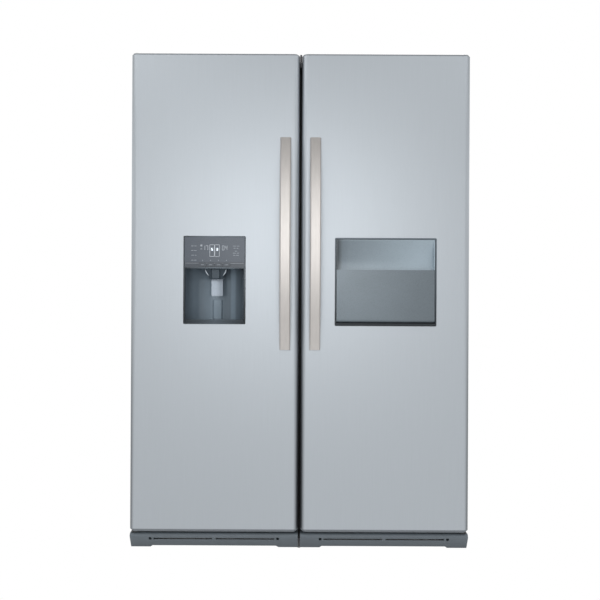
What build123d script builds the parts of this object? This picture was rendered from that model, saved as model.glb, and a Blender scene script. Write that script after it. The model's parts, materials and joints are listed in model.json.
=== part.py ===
from build123d import *
import math
import os

# Twin upright freezer (left) and refrigerator (right) standing side by side.
# Millimetres, +Z up, the front towards -Y, the origin on the floor under the middle of the pair.
# Every cabinet and door is drawn about its own middle with its hinge on the left, then put in place.

# Overall sizes
cabinet_width = 600.0
cabinet_gap = 8.0
cabinet_depth = 560.0
floor_clearance = 8.0
kick_height = 56.0
hinge_gap = 8.0
door_height = 1702.0
door_thickness = 64.0
gasket_gap = 14.0
handle_projection = 52.0
lid_clearance = 1.0

# Clearances
fit = 0.3
pin_clearance = 0.06
slide_clearance = 1.2

# Sheet and wall thicknesses
sheet = 1.0
liner_wall = 2.5
side_wall = 48.0
ceiling_wall = 55.0
floor_wall = 60.0
back_wall = 46.0
machine_wall = 46.0
tub_wall = 2.5

# Cabinet shell and liner
bend_radius = 4.0
front_flange = 34.0
back_recess = 4.0
bead_width = 26.0
bead_pitch = 170.0
bead_count = 3
bead_end = 60.0
corner_radius = 22.0
back_edge = 14.0
step_radius = 14.0
rib_depth = 11.0
rib_height = 9.0

# Machine room at the lower back
machine_depth = 180.0
machine_height = 190.0
louvre_height = 7.0
louvre_pitch = 24.0
louvre_width = 200.0
louvre_rows = 6
louvre_columns = 2
compressor_radius = 68.0
compressor_height = 150.0
compressor_foot = 12.0
compressor_plate = 4.0
compressor_sink = 10.0
compressor_dome = 48.0
compressor_bowl = 24.0
mount_radius = 13.0
mount_sides = 6

# Base, feet and rollers
rail_bottom = 24.0
pan_top = 62.0
pan_sheet = 2.0
pan_return = 30.0
pan_back = 12.0
foot_inset = 60.0
foot_back = 60.0
foot_radius = 20.0
foot_height = 12.0
foot_sides = 6
foot_edge = 4.0
stem_radius = 6.0
stem_nut = 12.0
nut_sides = 6
roller_radius = 22.0
roller_width = 20.0
roller_inset = 75.0
roller_back = 60.0
axle_radius = 4.0
ear_sheet = 3.0
ear_radius = 10.0
ear_gap = 3.0

# Kick plates
kick_setback = 5.0
kick_slope = 28.0
kick_lip = 22.0
kick_wall = 2.5
kick_radius = 10.0
kick_rear_gap = 8.0
kick_leg = 78.0
kick_rise = 6.0
kick_ramp = 8.0
slot_drop = 20.0
slot_height = 6.0
slot_end = 84.0
slot_bridge = 12.0
slot_cut = 7.5
screw_inset = 72.0
screw_hole = 5.5
screw_post = 9.0

# Hinges
hinge_inset = 16.0
hinge_back = 26.0
hinge_plate = 4.0
hinge_arm = 24.0
hinge_foot_width = 88.0
hinge_foot_depth = 60.0
hinge_foot_back = 26.0
pin_radius = 4.0
pin_length = 16.0
pin_boss = 12.0
bracket_width = 44.0
bracket_drop = 34.0
cover_width = 112.0
cover_depth = 104.0
cover_height = 17.0
cover_wall = 2.0
cover_corner = 7.0
cover_edge = 3.0
cover_front = 6.0

# Joining kit
strip_depth = 22.0
strip_back = 8.0
nose_width = 4.0
nose_height = 45.0
nose_back = 14.0
plate_length = 130.0
plate_width = 42.0
plate_sheet = 2.0
plate_corner = 7.0
plate_places = (150.0, 470.0)

# Doors
door_radius = 20.0
cap_top = 6.0
cap_bottom = 12.0
cap_top_edge = 4.5
cap_bottom_edge = 9.0
cap_plug = 8.0
dyke_margin = 18.0
dyke_width = 24.0
dyke_depth = 24.0
dyke_radius = 26.0
dyke_edge = 5.0
gasket_inset = 20.0
gasket_width = 16.0
gasket_neck = 9.0
gasket_base = 4.0
gasket_head = 4.5
bin_depth = 105.0
bin_height = 92.0
bin_radius = 24.0
bin_gap = 2.0
bin_lug = 9.0
bin_lug_height = 12.0
freezer_bins = (196.0, 440.0, 1420.0)
fridge_bins = (196.0, 440.0, 1190.0, 1450.0)

# Handles
handle_rise = 650.0
handle_length = 753.0
handle_width = 38.0
handle_inset = 49.0
handle_foot = 56.0
handle_bar = 11.0
handle_edge = 4.0
handle_tip = 8.0

# Dispenser in the freezer door
dispenser_rise = 740.0
dispenser_width = 221.0
dispenser_height = 313.0
dispenser_bezel = 3.6
bezel = 5.0
bezel_proud = 1.5
bezel_depth = 4.0
bezel_radius = 4.0
bezel_lap = 2.0
control_height = 108.0
control_depth = 24.0
tub_lip = 8.0
tub_depth = 92.0
bump_wall = 10.0
bump_margin = 12.0
bump_corner = 16.0
bump_edge = 3.5
rib_width = 36.0
rib_proud = 8.0
rib_top = 77.0
fascia_sheet = 4.0
fascia_gap = 0.4
fascia_post = 3.0
strip_line = 18.0
groove = 1.0
key_width = 26.0
key_height = 12.0
key_pitch = 28.5
key_count = 4
key_depth = 8.0
key_proud = 0.6
key_gap = 0.4
key_flange = 1.5
key_rim = 1.2
chute_width = 82.0
chute_wall = 2.0
chute_front = 30.0
chute_mouth_low = 24.0
chute_mouth_high = 88.0
hopper_top_width = 86.0
hopper_top_depth = 38.0
hopper_low_width = 46.0
hopper_low_depth = 26.0
hopper_height = 36.0
hopper_middle = 50.0
spout_width = 30.0
spout_proud = 4.0
paddle_width = 42.0
paddle_height = 66.0
paddle_sheet = 4.0
paddle_back = 74.0
paddle_drop = 32.0
paddle_pin = 2.5
paddle_eye = 5.0
paddle_ear = 4.0
tray_height = 8.0
tray_gap = 1.0
tray_wall = 2.0
tray_slot = 4.0
tray_slot_pitch = 20.0
tray_slot_count = 7
tray_slot_length = 30.0

# Home bar in the refrigerator door
bar_width = 361.0
bar_drop = 4.5
bar_height = 313.0
bar_sill = 10.0
bar_tunnel = 38.0
barrel_radius = 12.0
flap_body = 26.0
flap_liner_depth = 8.0
flap_liner_margin = 9.0
flap_dish = 4.0
flap_dish_margin = 24.0
flap_pin = 3.0
flap_pin_length = 3.0
scoop_height = 105.0
scoop_depth = 21.0
scoop_margin = 2.5
scoop_top = 2.0
scoop_lip = 7.0
scoop_undercut = 15.0
scoop_bulge = 15.0
scoop_bulge_drop = 42.0
case_depth = 122.0
case_radius = 12.0
case_edge = 3.5
case_rail = 60.0
case_rail_height = 10.0

# Inside the cabinets
shelf_setback = 122.0
shelf_sheet = 5.0
shelf_gap = 3.0
trim_height = 15.0
trim_depth = 18.0
trim_cover = 9.0
freezer_shelf_shares = (0.0, 0.365, 0.776)
fridge_shelf_shares = (0.0, 0.2, 0.4, 0.6, 0.8)
freezer_shelf_lift = 44.0
fridge_shelf_lift = 20.0
drawer_height = 160.0
drawer_rim = 3.0
drawer_rim_width = 12.0
drawer_radius = 14.0
drawer_front = 14.0
drawer_grip_width = 150.0
drawer_grip_height = 24.0
drawer_grip_depth = 9.0
drawer_lift = 184.0
drawer_pitch = 194.0
panel_sheet = 12.0
coil_room = 62.0
vent_width = 120.0
vent_height = 8.0
vent_pitch = 40.0
vent_rows = 7
vent_low = 780.0
fan_drop = 110.0
fan_opening = 60.0
fan_radius = 52.0
fan_hub = 17.0
fan_blades = 5
fan_blade_chord = 34.0
fan_blade_sheet = 2.0
fan_pitch = 28.0
fan_depth = 22.0
fan_standoff = 8.0
fan_shaft = 3.0
fan_root = 3.0
grille_boss = 12.0
grille_bar = 5.0
grille_spokes = 6
coil_width = 400.0
coil_height = 520.0
coil_low = 420.0
coil_depth = 48.0
fin_sheet = 3.0
fin_count = 8
coil_bar = 16.0
duct_width = 130.0
duct_depth = 30.0
duct_radius = 12.0
duct_low = 560.0
duct_drop = 60.0
duct_slot = 7.0
duct_slot_width = 90.0
duct_slot_pitch = 120.0
duct_slot_count = 8
maker_width = 124.0
maker_length = 230.0
maker_height = 50.0
maker_lift = 249.0
maker_cell = 40.0
maker_cell_length = 34.0
maker_cells = 5
maker_motor = 46.0
maker_motor_height = 96.0
maker_motor_edge = 8.0
bucket_width = 262.0
bucket_height = 190.0
bucket_front = 38.0
bucket_radius = 18.0
bucket_spout = 36.0
lamp_width = 150.0
lamp_depth = 70.0
lamp_height = 12.0
lamp_edge = 6.0
lamp_back = 190.0

# Places worked out from the sizes above
half_width = cabinet_width / 2
half_pitch = (cabinet_width + cabinet_gap) / 2
total_depth = handle_projection + door_thickness + gasket_gap + cabinet_depth
y_back = total_depth / 2
y_cab = y_back - cabinet_depth
y_door_back = y_cab - gasket_gap
y_front = y_door_back - door_thickness
z_kick_top = floor_clearance + kick_height
z_door = z_kick_top + hinge_gap
z_door_top = z_door + door_height
z_top = z_door_top + lid_clearance
z_floor = pan_top + floor_wall
z_ceiling = z_top - ceiling_wall
z_machine = pan_top + machine_height
z_step = z_machine + machine_wall
y_panel = y_back - back_recess - sheet
y_inner_back = y_panel - back_wall
y_machine = y_back - machine_depth
y_step = y_machine - machine_wall
inner_half = half_width - side_wall
x_pivot = hinge_inset - half_width
y_pivot = y_front + hinge_back
y_shelf = y_cab + shelf_setback
y_air_panel = y_inner_back - coil_room - panel_sheet
x_handle = half_width - handle_inset
lower_rim = z_floor + drawer_lift
middle_rim = lower_rim + drawer_pitch
upper_rim = middle_rim + drawer_pitch
z_freezer_shelf = upper_rim + freezer_shelf_lift
z_fridge_shelf = middle_rim + fridge_shelf_lift
freezer_shelves = [z_freezer_shelf + share * (z_ceiling - z_freezer_shelf) for share in freezer_shelf_shares]
fridge_shelves = [z_fridge_shelf + share * (z_ceiling - z_fridge_shelf) for share in fridge_shelf_shares]
z_fan = z_ceiling - fan_drop
z_duct_top = z_ceiling - duct_drop
z_maker = freezer_shelves[1] + maker_lift
dyke_half = inner_half - dyke_margin
bin_half = dyke_half - dyke_width - bin_gap
z_dispenser = z_door + dispenser_rise
z_dispenser_top = z_dispenser + dispenser_height
z_control = z_dispenser_top - dispenser_bezel - control_height
z_tub = z_dispenser + tub_lip
z_tub_top = z_control - dispenser_bezel
tub_half = dispenser_width / 2 - dispenser_bezel - tub_wall
y_bump = y_front + tub_depth + tub_wall + bump_wall
z_bar = z_dispenser - bar_drop
z_bar_top = z_bar + bar_height
z_sill = z_bar + bar_sill
bar_half = bar_width / 2 - bezel
z_flap = z_sill + slide_clearance
z_flap_top = z_bar_top - bezel - slide_clearance
flap_half = bar_half - slide_clearance
y_flap_axis = y_front + barrel_radius
z_flap_axis = z_flap + barrel_radius


def block(x, y, z):
    """A box between the low and high ends of x, y and z."""
    size = [high - low for low, high in (x, y, z)]
    middle = [(low + high) / 2 for low, high in (x, y, z)]
    return Pos(*middle) * Box(*size)


def upright(face, y_low, y_high):
    """A front view, X across and Z up, made solid from y_low to y_high."""
    return Pos(0, y_high, 0) * Rot(90, 0, 0) * extrude(face, y_high - y_low)


def standing(face, z_low, z_high):
    """A plan view, X across and Y back, made solid from z_low to z_high."""
    return Pos(0, 0, z_low) * extrude(face, z_high - z_low)


def sideways(face, x_low, x_high):
    """A side view, Y across and Z up, made solid from x_low to x_high."""
    return Plane.YZ.offset(x_low) * extrude(face, x_high - x_low)


def panel(width, z_low, z_high, radius):
    """The front view of a plate with rounded corners."""
    return Pos(0, (z_low + z_high) / 2) * RectangleRounded(width, z_high - z_low, radius)


def cut_panel(width, z_low, z_high, edge):
    """The front view of a plate with its corners cut off."""
    face = Pos(0, (z_low + z_high) / 2) * Rectangle(width, z_high - z_low)
    return chamfer(face.vertices(), edge)


def round_bar(radius, x, y, z, length, turn):
    """A round bar from a point along a main axis: turn is the rotation that points it."""
    return Pos(x, y, z) * turn * Cylinder(radius, length, align=(Align.CENTER, Align.CENTER, Align.MIN))


def along_x(radius, x_low, x_high, y, z):
    """A round bar along X."""
    return round_bar(radius, x_low, y, z, x_high - x_low, Rot(0, 90, 0))


def along_y(radius, x, y_low, y_high, z):
    """A round bar along Y."""
    return round_bar(radius, x, y_low, z, y_high - y_low, Rot(-90, 0, 0))


def along_z(radius, x, y, z_low, z_high):
    """A round bar along Z."""
    return round_bar(radius, x, y, z_low, z_high - z_low, Rot(0, 0, 0))


def rounded_plan(width, depth, radius, y_low):
    """A plan view with its two front corners rounded, its front edge at y_low."""
    face = Pos(0, y_low + depth / 2) * Rectangle(width, depth)
    return fillet(face.vertices().group_by(Axis.Y)[0], radius)


def place(shape, side):
    """Moves a cabinet or door part to its side; on the right it is turned over left to right."""
    if side > 0:
        shape = mirror(shape, about=Plane.YZ)
    return Pos(side * half_pitch, 0, 0) * shape


def pair(shape):
    """The same part on both cabinets, as separate solids of one node."""
    return Compound([place(shape, -1), place(shape, 1)])


def tub(width, y_low, y_high, z_low, height, radius, wall):
    """An open topped moulded tub with rounded upright corners."""
    middle = Pos(0, (y_low + y_high) / 2)
    depth = y_high - y_low
    body = standing(middle * RectangleRounded(width, depth, radius), z_low, z_low + height)
    inside = middle * RectangleRounded(width - 2 * wall, depth - 2 * wall, radius - wall)
    return body - standing(inside, z_low + wall, z_low + height)


def wrapper_outline(inset, radius, z_low):
    """The front view of a cabinet, drawn in by inset at the sides and the top."""
    high = z_top - inset
    face = Pos(0, (z_low + high) / 2) * Rectangle(cabinet_width - 2 * inset, high - z_low)
    return fillet(face.vertices().group_by(Axis.Y)[-1], radius)


def cabinet_shell():
    """The folded steel wrapper: two sides, the top and a front flange."""
    shell = upright(wrapper_outline(0, bend_radius, rail_bottom), y_cab, y_back)
    shell -= upright(wrapper_outline(sheet, bend_radius - sheet, rail_bottom), y_cab + sheet, y_back)
    opening = half_width - front_flange
    return shell - block((-opening, opening), (y_cab, y_cab + sheet), (rail_bottom, z_top - front_flange))


def cavity(grow):
    """The hollow of one cabinet, larger all round by grow, with the step over the machine room."""
    width = 2 * (inner_half + grow)
    hollow = upright(panel(width, z_floor - grow, z_ceiling + grow, corner_radius + grow),
                     y_cab, y_inner_back + grow)
    hollow = chamfer(hollow.faces().sort_by(Axis.Y)[-1].edges(), back_edge + grow)
    step_front = y_step + grow
    step_top = z_step - grow
    hollow -= block((-width, width), (step_front, y_back), (0, step_top))
    corner = hollow.edges().filter_by(Axis.X).sort_by_distance((0, step_front, step_top))[0]
    return fillet(corner, step_radius - grow)


def liner(ribs, y_rib_back):
    """The moulded inner liner with its front flange and the ribs that carry shelves and drawers."""
    body = cavity(liner_wall)
    flange_half = half_width - front_flange - fit
    body += block((-flange_half, flange_half), (y_cab, y_cab + liner_wall),
                  (pan_top, z_top - front_flange - fit))
    body -= cavity(0)
    for level, y_end in ribs:
        for low, high in ((-inner_half - liner_wall / 2, rib_depth - inner_half),
                          (inner_half - rib_depth, inner_half + liner_wall / 2)):
            body += block((low, high), (y_shelf, min(y_end, y_rib_back)), (level - rib_height, level))
    return body


def insulation():
    """The foam between the wrapper and the liner, cut away for the machine room."""
    inset = sheet + fit
    foam = upright(wrapper_outline(inset, bend_radius, pan_top), y_cab + liner_wall + fit, y_panel - fit)
    foam -= cavity(liner_wall + fit)
    return foam - block((-half_width, half_width), (y_machine, y_back), (pan_top, z_machine))


def back_panel():
    """The steel back with pressed upright beads."""
    plate = upright(wrapper_outline(sheet + fit, bend_radius, z_machine), y_panel, y_panel + sheet)
    middle = (z_machine + z_top) / 2
    length = z_top - z_machine - 2 * bead_end
    for index in range(bead_count):
        x = (index - (bead_count - 1) / 2) * bead_pitch
        bead = chamfer(Rectangle(bead_width, length).vertices(), bead_width / 2 - sheet)
        plate += upright(Pos(x, middle) * bead, y_panel + sheet, y_back)
    return plate


def machine_cover():
    """The louvred steel cover over the machine room."""
    half = half_width - sheet - fit
    plate = block((-half, half), (y_panel, y_panel + sheet), (pan_top, z_machine - fit))
    middle = (pan_top + z_machine) / 2
    for row in range(louvre_rows):
        z = middle + (row - (louvre_rows - 1) / 2) * louvre_pitch
        for column in range(louvre_columns):
            x = (column - (louvre_columns - 1) / 2) * (half_width - side_wall)
            plate -= block((x - louvre_width / 2, x + louvre_width / 2), (y_panel, y_panel + sheet),
                           (z - louvre_height / 2, z + louvre_height / 2))
    return plate


def compressor():
    """The welded compressor pot on its foot plate with four rubber mounts."""
    y_middle = (y_machine + y_back) / 2
    low = pan_top + compressor_foot + compressor_plate
    base = low - compressor_sink
    top = base + compressor_height
    radius = compressor_radius
    side = Polyline((0, base), (radius - compressor_bowl, base), (radius, base + compressor_bowl),
                    (radius, top - compressor_dome), (radius - compressor_dome, top), (0, top), close=True)
    pot = Pos(0, y_middle, 0) * revolve(Plane.XZ * make_face(side), Axis.Z)
    half_plate = radius + mount_radius
    pot += block((-half_plate, half_plate), (y_middle - radius, y_middle + radius),
                 (low - compressor_plate, low))
    for x in (-radius, radius):
        for y in (mount_radius - radius, radius - mount_radius):
            mount = Pos(x, y_middle + y) * RegularPolygon(mount_radius, mount_sides)
            pot += standing(mount, pan_top, low)
    return pot


def base_pan():
    """The folded steel base with welded nuts for the feet and ears for the roller axle."""
    half = half_width - sheet - fit
    y_pan = y_back - pan_back
    pan = block((-half, half), (y_cab + liner_wall, y_pan), (rail_bottom, pan_top))
    pan -= block((pan_sheet - half, half - pan_sheet), (y_cab + liner_wall, y_pan),
                 (rail_bottom + pan_sheet, pan_top - pan_sheet))
    pan -= block((pan_return - half, half - pan_return), (y_cab + liner_wall, y_pan),
                 (rail_bottom, rail_bottom + pan_sheet))
    front_half = half_width - front_flange - fit
    pan += block((-front_half, front_half), (y_cab, y_cab + liner_wall + pan_sheet), (rail_bottom, pan_top))
    for x in (foot_inset - half_width, half_width - foot_inset):
        nut = Pos(x, y_cab + foot_back) * RegularPolygon(stem_nut, nut_sides)
        pan += standing(nut, rail_bottom, pan_top)
        pan -= along_z(stem_radius + pin_clearance, x, y_cab + foot_back, rail_bottom, pan_top - pan_sheet)
    return pan + roller_ears()


def roller_ears():
    """Four ears that hang from the base pan and carry the roller axle."""
    y = y_back - roller_back
    low = roller_radius - ear_radius
    tab = Pos(y, (low + pan_top) / 2) * Rectangle(2 * ear_radius, pan_top - low)
    tab = chamfer(tab.vertices().group_by(Axis.Y)[0], ear_radius / 2)
    tab -= Pos(y, roller_radius) * Circle(axle_radius + pin_clearance)
    reach = roller_width / 2 + ear_gap
    ears = []
    for x in (roller_inset - half_width, half_width - roller_inset):
        ears.append(sideways(tab, x - reach - ear_sheet, x - reach))
        ears.append(sideways(tab, x + reach, x + reach + ear_sheet))
    return ears


def rollers():
    """One axle with its two rear rollers."""
    y = y_back - roller_back
    end = half_width - roller_inset + roller_width / 2 + ear_gap + ear_sheet + axle_radius
    axle = along_x(axle_radius, -end, end, y, roller_radius)
    for x in (roller_inset - half_width, half_width - roller_inset):
        axle += along_x(roller_radius, x - roller_width / 2, x + roller_width / 2, y, roller_radius)
    return axle


def foot(x):
    """A levelling foot: a hexagonal pad with a stem that screws into the base."""
    y = y_cab + foot_back
    pad = standing(Pos(x, y) * RegularPolygon(foot_radius, foot_sides), 0, foot_height)
    pad = chamfer(pad.faces().sort_by(Axis.Z)[-1].edges(), foot_edge)
    return pad + along_z(stem_radius, x, y, foot_height, pan_top - 2 * pan_sheet)


def kick_plate():
    """The kick plate: a hollow moulding that leans back to the floor, with a vent slot and two screws."""
    y_face = y_front + kick_setback
    y_rear = y_cab - kick_rear_gap
    lean = kick_slope / kick_height
    plate = sideways(kick_section(y_face, y_rear, 0), -half_width, half_width)
    inner_end = half_width - kick_wall
    plate -= sideways(kick_section(y_face, y_rear, kick_wall), -inner_end, inner_end)
    y_lip = y_face + kick_slope + kick_lip
    plate -= block((-inner_end, inner_end), (y_lip, y_rear), (floor_clearance, floor_clearance + kick_wall))
    z_slot = z_kick_top - slot_drop
    y_slot = y_face + slot_drop * lean
    for x in (screw_inset - half_width, half_width - screw_inset):
        across = (x - screw_post, x + screw_post)
        rise = (z_slot - screw_post, z_slot + screw_post)
        post = block(across, (y_face, y_rear), rise)
        post &= sideways(kick_section(y_face, y_rear, kick_wall / 2), -inner_end, inner_end)
        plate += post + block(across, (y_rear, y_cab), rise)
        plate -= along_y(screw_hole, x, y_face, y_cab, z_slot)
    for low, high in ((slot_end - half_width, -slot_bridge / 2), (slot_bridge / 2, half_width - slot_end)):
        plate -= block((low, high), (y_face, y_slot + slot_cut),
                       (z_slot - slot_height / 2, z_slot + slot_height / 2))
    raised = half_width - kick_leg
    arch = Polyline((-raised - kick_ramp, floor_clearance), (-raised, floor_clearance + kick_rise),
                    (raised, floor_clearance + kick_rise), (raised + kick_ramp, floor_clearance), close=True)
    return plate - upright(make_face(arch), y_face, y_rear)


def kick_section(y_face, y_rear, inset):
    """The side view of the kick plate, drawn in by inset at the top, the face and the bottom."""
    lean = kick_slope / kick_height
    top = z_kick_top - inset
    low = floor_clearance + inset
    slant = inset * math.hypot(1, lean)
    y_high = y_face + slant + inset * lean
    y_low = y_face + slant + kick_slope - inset * lean
    face = make_face(Polyline((y_rear, top), (y_high, top), (y_low, low), (y_rear, low), close=True))
    return fillet(face.vertices().sort_by_distance((y_high, top))[0], kick_radius - inset)


def top_hinge():
    """The upper hinge: a plate on the cabinet top with a pin down into the door."""
    y_foot = y_cab + hinge_foot_back
    plan = hinge_reach(y_foot + hinge_foot_depth / 2)
    x_foot = x_pivot + hinge_foot_width / 2 - hinge_arm / 2
    plan += Pos(x_foot, y_foot + hinge_foot_depth / 2) * Rectangle(hinge_foot_width, hinge_foot_depth)
    hinge = standing(plan & wrapper_plan(), z_top, z_top + hinge_plate)
    return hinge + along_z(pin_radius, x_pivot, y_pivot, z_door_top - pin_length, z_top + hinge_plate)


def hinge_reach(y_end):
    """The plan of a hinge arm that reaches forward over the pin, its tip cut to a blunt point."""
    y_tip = y_pivot - hinge_arm / 2
    arm = Pos(x_pivot, (y_tip + y_end) / 2) * Rectangle(hinge_arm, y_end - y_tip)
    return chamfer(arm.vertices().group_by(Axis.Y)[0], hinge_arm / 4)


def wrapper_plan():
    """The plan of one cabinet with its door, which the hinges keep within."""
    return Rectangle(cabinet_width, total_depth)


def bottom_hinge():
    """The lower hinge: an angle bracket on the cabinet front with a pin up into the door."""
    low = z_kick_top + (hinge_gap - hinge_plate) / 2
    plan = hinge_reach(y_cab)
    hinge = standing(plan & wrapper_plan(), low, low + hinge_plate)
    x_low = -half_width + sheet
    hinge += block((x_low, x_low + bracket_width), (y_cab - hinge_plate, y_cab),
                   (low - bracket_drop, low + hinge_plate))
    return hinge + along_z(pin_radius, x_pivot, y_pivot, low, z_door + pin_length)


def hinge_cover():
    """The moulded cover over the upper hinge plate."""
    x_low = -half_width + sheet
    y_low = y_cab + cover_front
    x_high = x_low + cover_width
    y_high = y_low + cover_depth
    middle = Pos((x_low + x_high) / 2, (y_low + y_high) / 2)
    outer = chamfer(Rectangle(cover_width, cover_depth).vertices(), cover_corner)
    inner = Rectangle(cover_width - 2 * cover_wall, cover_depth - 2 * cover_wall)
    inner = chamfer(inner.vertices(), cover_corner)
    cover = standing(middle * outer, z_top, z_top + cover_height)
    cover = chamfer(cover.faces().sort_by(Axis.Z)[-1].edges(), cover_edge)
    cover -= standing(middle * inner, z_top, z_top + cover_height - cover_wall)
    arm_half = hinge_arm / 2 + slide_clearance
    return cover - block((x_low, x_pivot + arm_half), (y_low, y_low + cover_wall + cover_corner),
                         (z_top, z_top + hinge_plate + slide_clearance))


def joining_strip():
    """The filler strip between the cabinets: a channel open to the back, with a nose at its top."""
    half = cabinet_gap / 2
    y_low = y_cab + strip_back
    strip = block((-half, half), (y_low, y_low + strip_depth), (rail_bottom, z_top))
    wall = half / 2
    strip -= block((-wall, wall), (y_low + strip_depth / 2, y_low + strip_depth), (rail_bottom, z_top))
    reach = (y_front + nose_back, y_low)
    return strip + block((-nose_width / 2, nose_width / 2), reach, (z_top - nose_height, z_top))


def joining_plates():
    """Two plates across the cabinet tops that tie the pair together."""
    plan = chamfer(Rectangle(plate_length, plate_width).vertices(), plate_corner)
    return Compound([standing(Pos(0, y_cab + y) * plan, z_top, z_top + plate_sheet) for y in plate_places])


def door_skin(window):
    """The folded steel door face with round upright edges, cut for what is let into it."""
    depth = door_thickness - liner_wall
    plan = rounded_plan(cabinet_width, depth, door_radius, y_front)
    plan -= rounded_plan(cabinet_width - 2 * sheet, depth, door_radius - sheet, y_front + sheet)
    return standing(plan, z_door + cap_bottom, z_door_top - cap_top) - window


def door_caps():
    """The moulded door ends, with plugs into the skin and bored bosses on the hinge pins."""
    plan = rounded_plan(cabinet_width, door_thickness, door_radius, y_front)
    inset = sheet + fit
    plug = rounded_plan(cabinet_width - 2 * inset, door_thickness - liner_wall - 2 * inset, door_radius,
                        y_front + inset)
    bore = pin_radius + pin_clearance
    end = pin_length + slide_clearance
    low = z_door_top - cap_top
    top = standing(plan, low, z_door_top)
    top = chamfer(top.faces().sort_by(Axis.Z)[-1].edges(), cap_top_edge)
    top += standing(plug, low - cap_plug, low)
    boss = pin_block(pin_boss, z_door_top - end - liner_wall, low - cap_plug / 2)
    top += boss & door_inside()
    top -= along_z(bore, x_pivot, y_pivot, z_door_top - end, z_door_top)
    high = z_door + cap_bottom
    bottom = standing(plan, z_door, high)
    bottom = chamfer(bottom.faces().sort_by(Axis.Z)[0].edges(), cap_bottom_edge)
    bottom += standing(plug, high, high + cap_plug)
    bottom -= along_z(bore, x_pivot, y_pivot, z_door, z_door + end)
    return Compound([top, bottom])


def pin_block(half, z_low, z_high):
    """A square block round the hinge axis."""
    return block((x_pivot - half, x_pivot + half), (y_pivot - half, y_pivot + half), (z_low, z_high))


def door_inside():
    """The space inside the door skin."""
    inset = sheet + fit
    plan = rounded_plan(cabinet_width - 2 * inset, door_thickness - liner_wall - inset - fit, door_radius,
                        y_front + inset)
    return standing(plan, z_door, z_door_top)


def door_insulation(window):
    """The foam that fills the door between its caps."""
    inset = cap_plug + fit
    z_low = z_door + cap_bottom + inset
    z_high = z_door_top - cap_top - inset
    foam = door_inside() & block((-half_width, half_width), (y_front, y_door_back), (z_low, z_high))
    foam -= pin_block(pin_boss + fit, z_door_top - door_thickness, z_door_top)
    return foam - window


def door_liner(bins, window):
    """The moulded inner face of a door: a plate, the raised dyke round it and lugs for the bins."""
    z_low = z_door + cap_bottom + fit
    z_high = z_door_top - cap_top - fit
    outline = panel(cabinet_width - 2 * sheet, z_low, z_high, sheet)
    plate = upright(outline, y_door_back - liner_wall, y_door_back)
    dyke_low = z_floor + dyke_margin
    dyke_high = z_ceiling - dyke_margin
    outer = panel(2 * dyke_half, dyke_low, dyke_high, dyke_radius)
    inner = panel(2 * (dyke_half - dyke_width), dyke_low + dyke_width, dyke_high - dyke_width,
                  dyke_radius - dyke_edge)
    dyke = upright(outer - inner, y_door_back, y_door_back + dyke_depth)
    plate += chamfer(dyke.faces().sort_by(Axis.Y)[-1].edges(), dyke_edge)
    lug_out = dyke_half - dyke_width
    for level in bins:
        for low, high in ((-lug_out - dyke_edge, bin_lug - lug_out),
                          (lug_out - bin_lug, lug_out + dyke_edge)):
            plate += block((low, high), (y_door_back, y_door_back + dyke_depth - dyke_edge),
                           (level - bin_lug_height, level))
    return plate - window


def ring_seal(width, z_low, z_high, thickness, y_low, y_high):
    """A rectangular ring with mitred corners, as seen from the front."""
    middle = Pos(0, (z_low + z_high) / 2)
    outer = middle * Rectangle(width, z_high - z_low)
    inner = middle * Rectangle(width - 2 * thickness, z_high - z_low - 2 * thickness)
    return upright(outer - inner, y_low, y_high)


def gasket():
    """The door seal: a base, a bellows neck and a magnet head that meets the cabinet flange."""
    width = cabinet_width - 2 * gasket_inset
    z_low = z_door + gasket_inset
    z_high = z_door_top - gasket_inset
    y_neck = y_door_back + gasket_base
    y_head = y_cab - fit - gasket_head
    inset = (gasket_width - gasket_neck) / 2
    seal = ring_seal(width, z_low, z_high, gasket_width, y_door_back, y_neck)
    seal += ring_seal(width - 2 * inset, z_low + inset, z_high - inset, gasket_neck, y_neck, y_head)
    return seal + ring_seal(width, z_low, z_high, gasket_width, y_head, y_cab - fit)


def door_bins(levels):
    """The lift out door bins, each resting on its two lugs."""
    middle = Pos(0, y_door_back + bin_depth / 2)
    plan = middle * Rectangle(2 * bin_half, bin_depth)
    plan = fillet(plan.vertices().group_by(Axis.Y)[-1], bin_radius)
    inside = middle * Rectangle(2 * (bin_half - tub_wall), bin_depth - 2 * tub_wall)
    inside = fillet(inside.vertices().group_by(Axis.Y)[-1], bin_radius - tub_wall)
    bins = []
    for level in levels:
        body = standing(plan, level, level + bin_height)
        bins.append(body - standing(inside, level + tub_wall, level + bin_height))
    return Compound(bins)


def handle():
    """The bowed strap handle, solid at its two feet and clear of the door between them."""
    low = z_door + handle_rise
    high = low + handle_length
    middle = (low + high) / 2
    y_bow = y_front - handle_projection
    y_tip = y_front - handle_tip
    side = Line((y_front, low), (y_tip, low))
    side += ThreePointArc((y_tip, low), (y_bow, middle), (y_tip, high))
    side += Polyline((y_tip, high), (y_front, high), (y_front, high - handle_foot))
    side += ThreePointArc((y_front, high - handle_foot), (y_bow + handle_bar, middle),
                          (y_front, low + handle_foot))
    side += Line((y_front, low + handle_foot), (y_front, low))
    bar = sideways(make_face(side), x_handle - handle_width / 2, x_handle + handle_width / 2)
    bow = bar.faces().sort_by(Axis.Y)[0]
    return chamfer(bow.edges().filter_by(GeomType.CIRCLE), handle_edge)


def tub_plan(grow):
    """The plan of the dispenser recess: a bowed back from one side of the opening to the other."""
    half = tub_half + grow
    deep = y_front + tub_depth + grow
    curve = ThreePointArc((-half, y_front), (0, deep), (half, y_front))
    return make_face(curve + Line((half, y_front), (-half, y_front)))


def dispenser_window():
    """The hole through the door face for the dispenser."""
    half = dispenser_width / 2 - bezel_lap
    return block((-half, half), (y_front - bezel_proud, y_bump),
                 (z_dispenser + bezel_lap, z_dispenser_top - bezel_lap))


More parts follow.
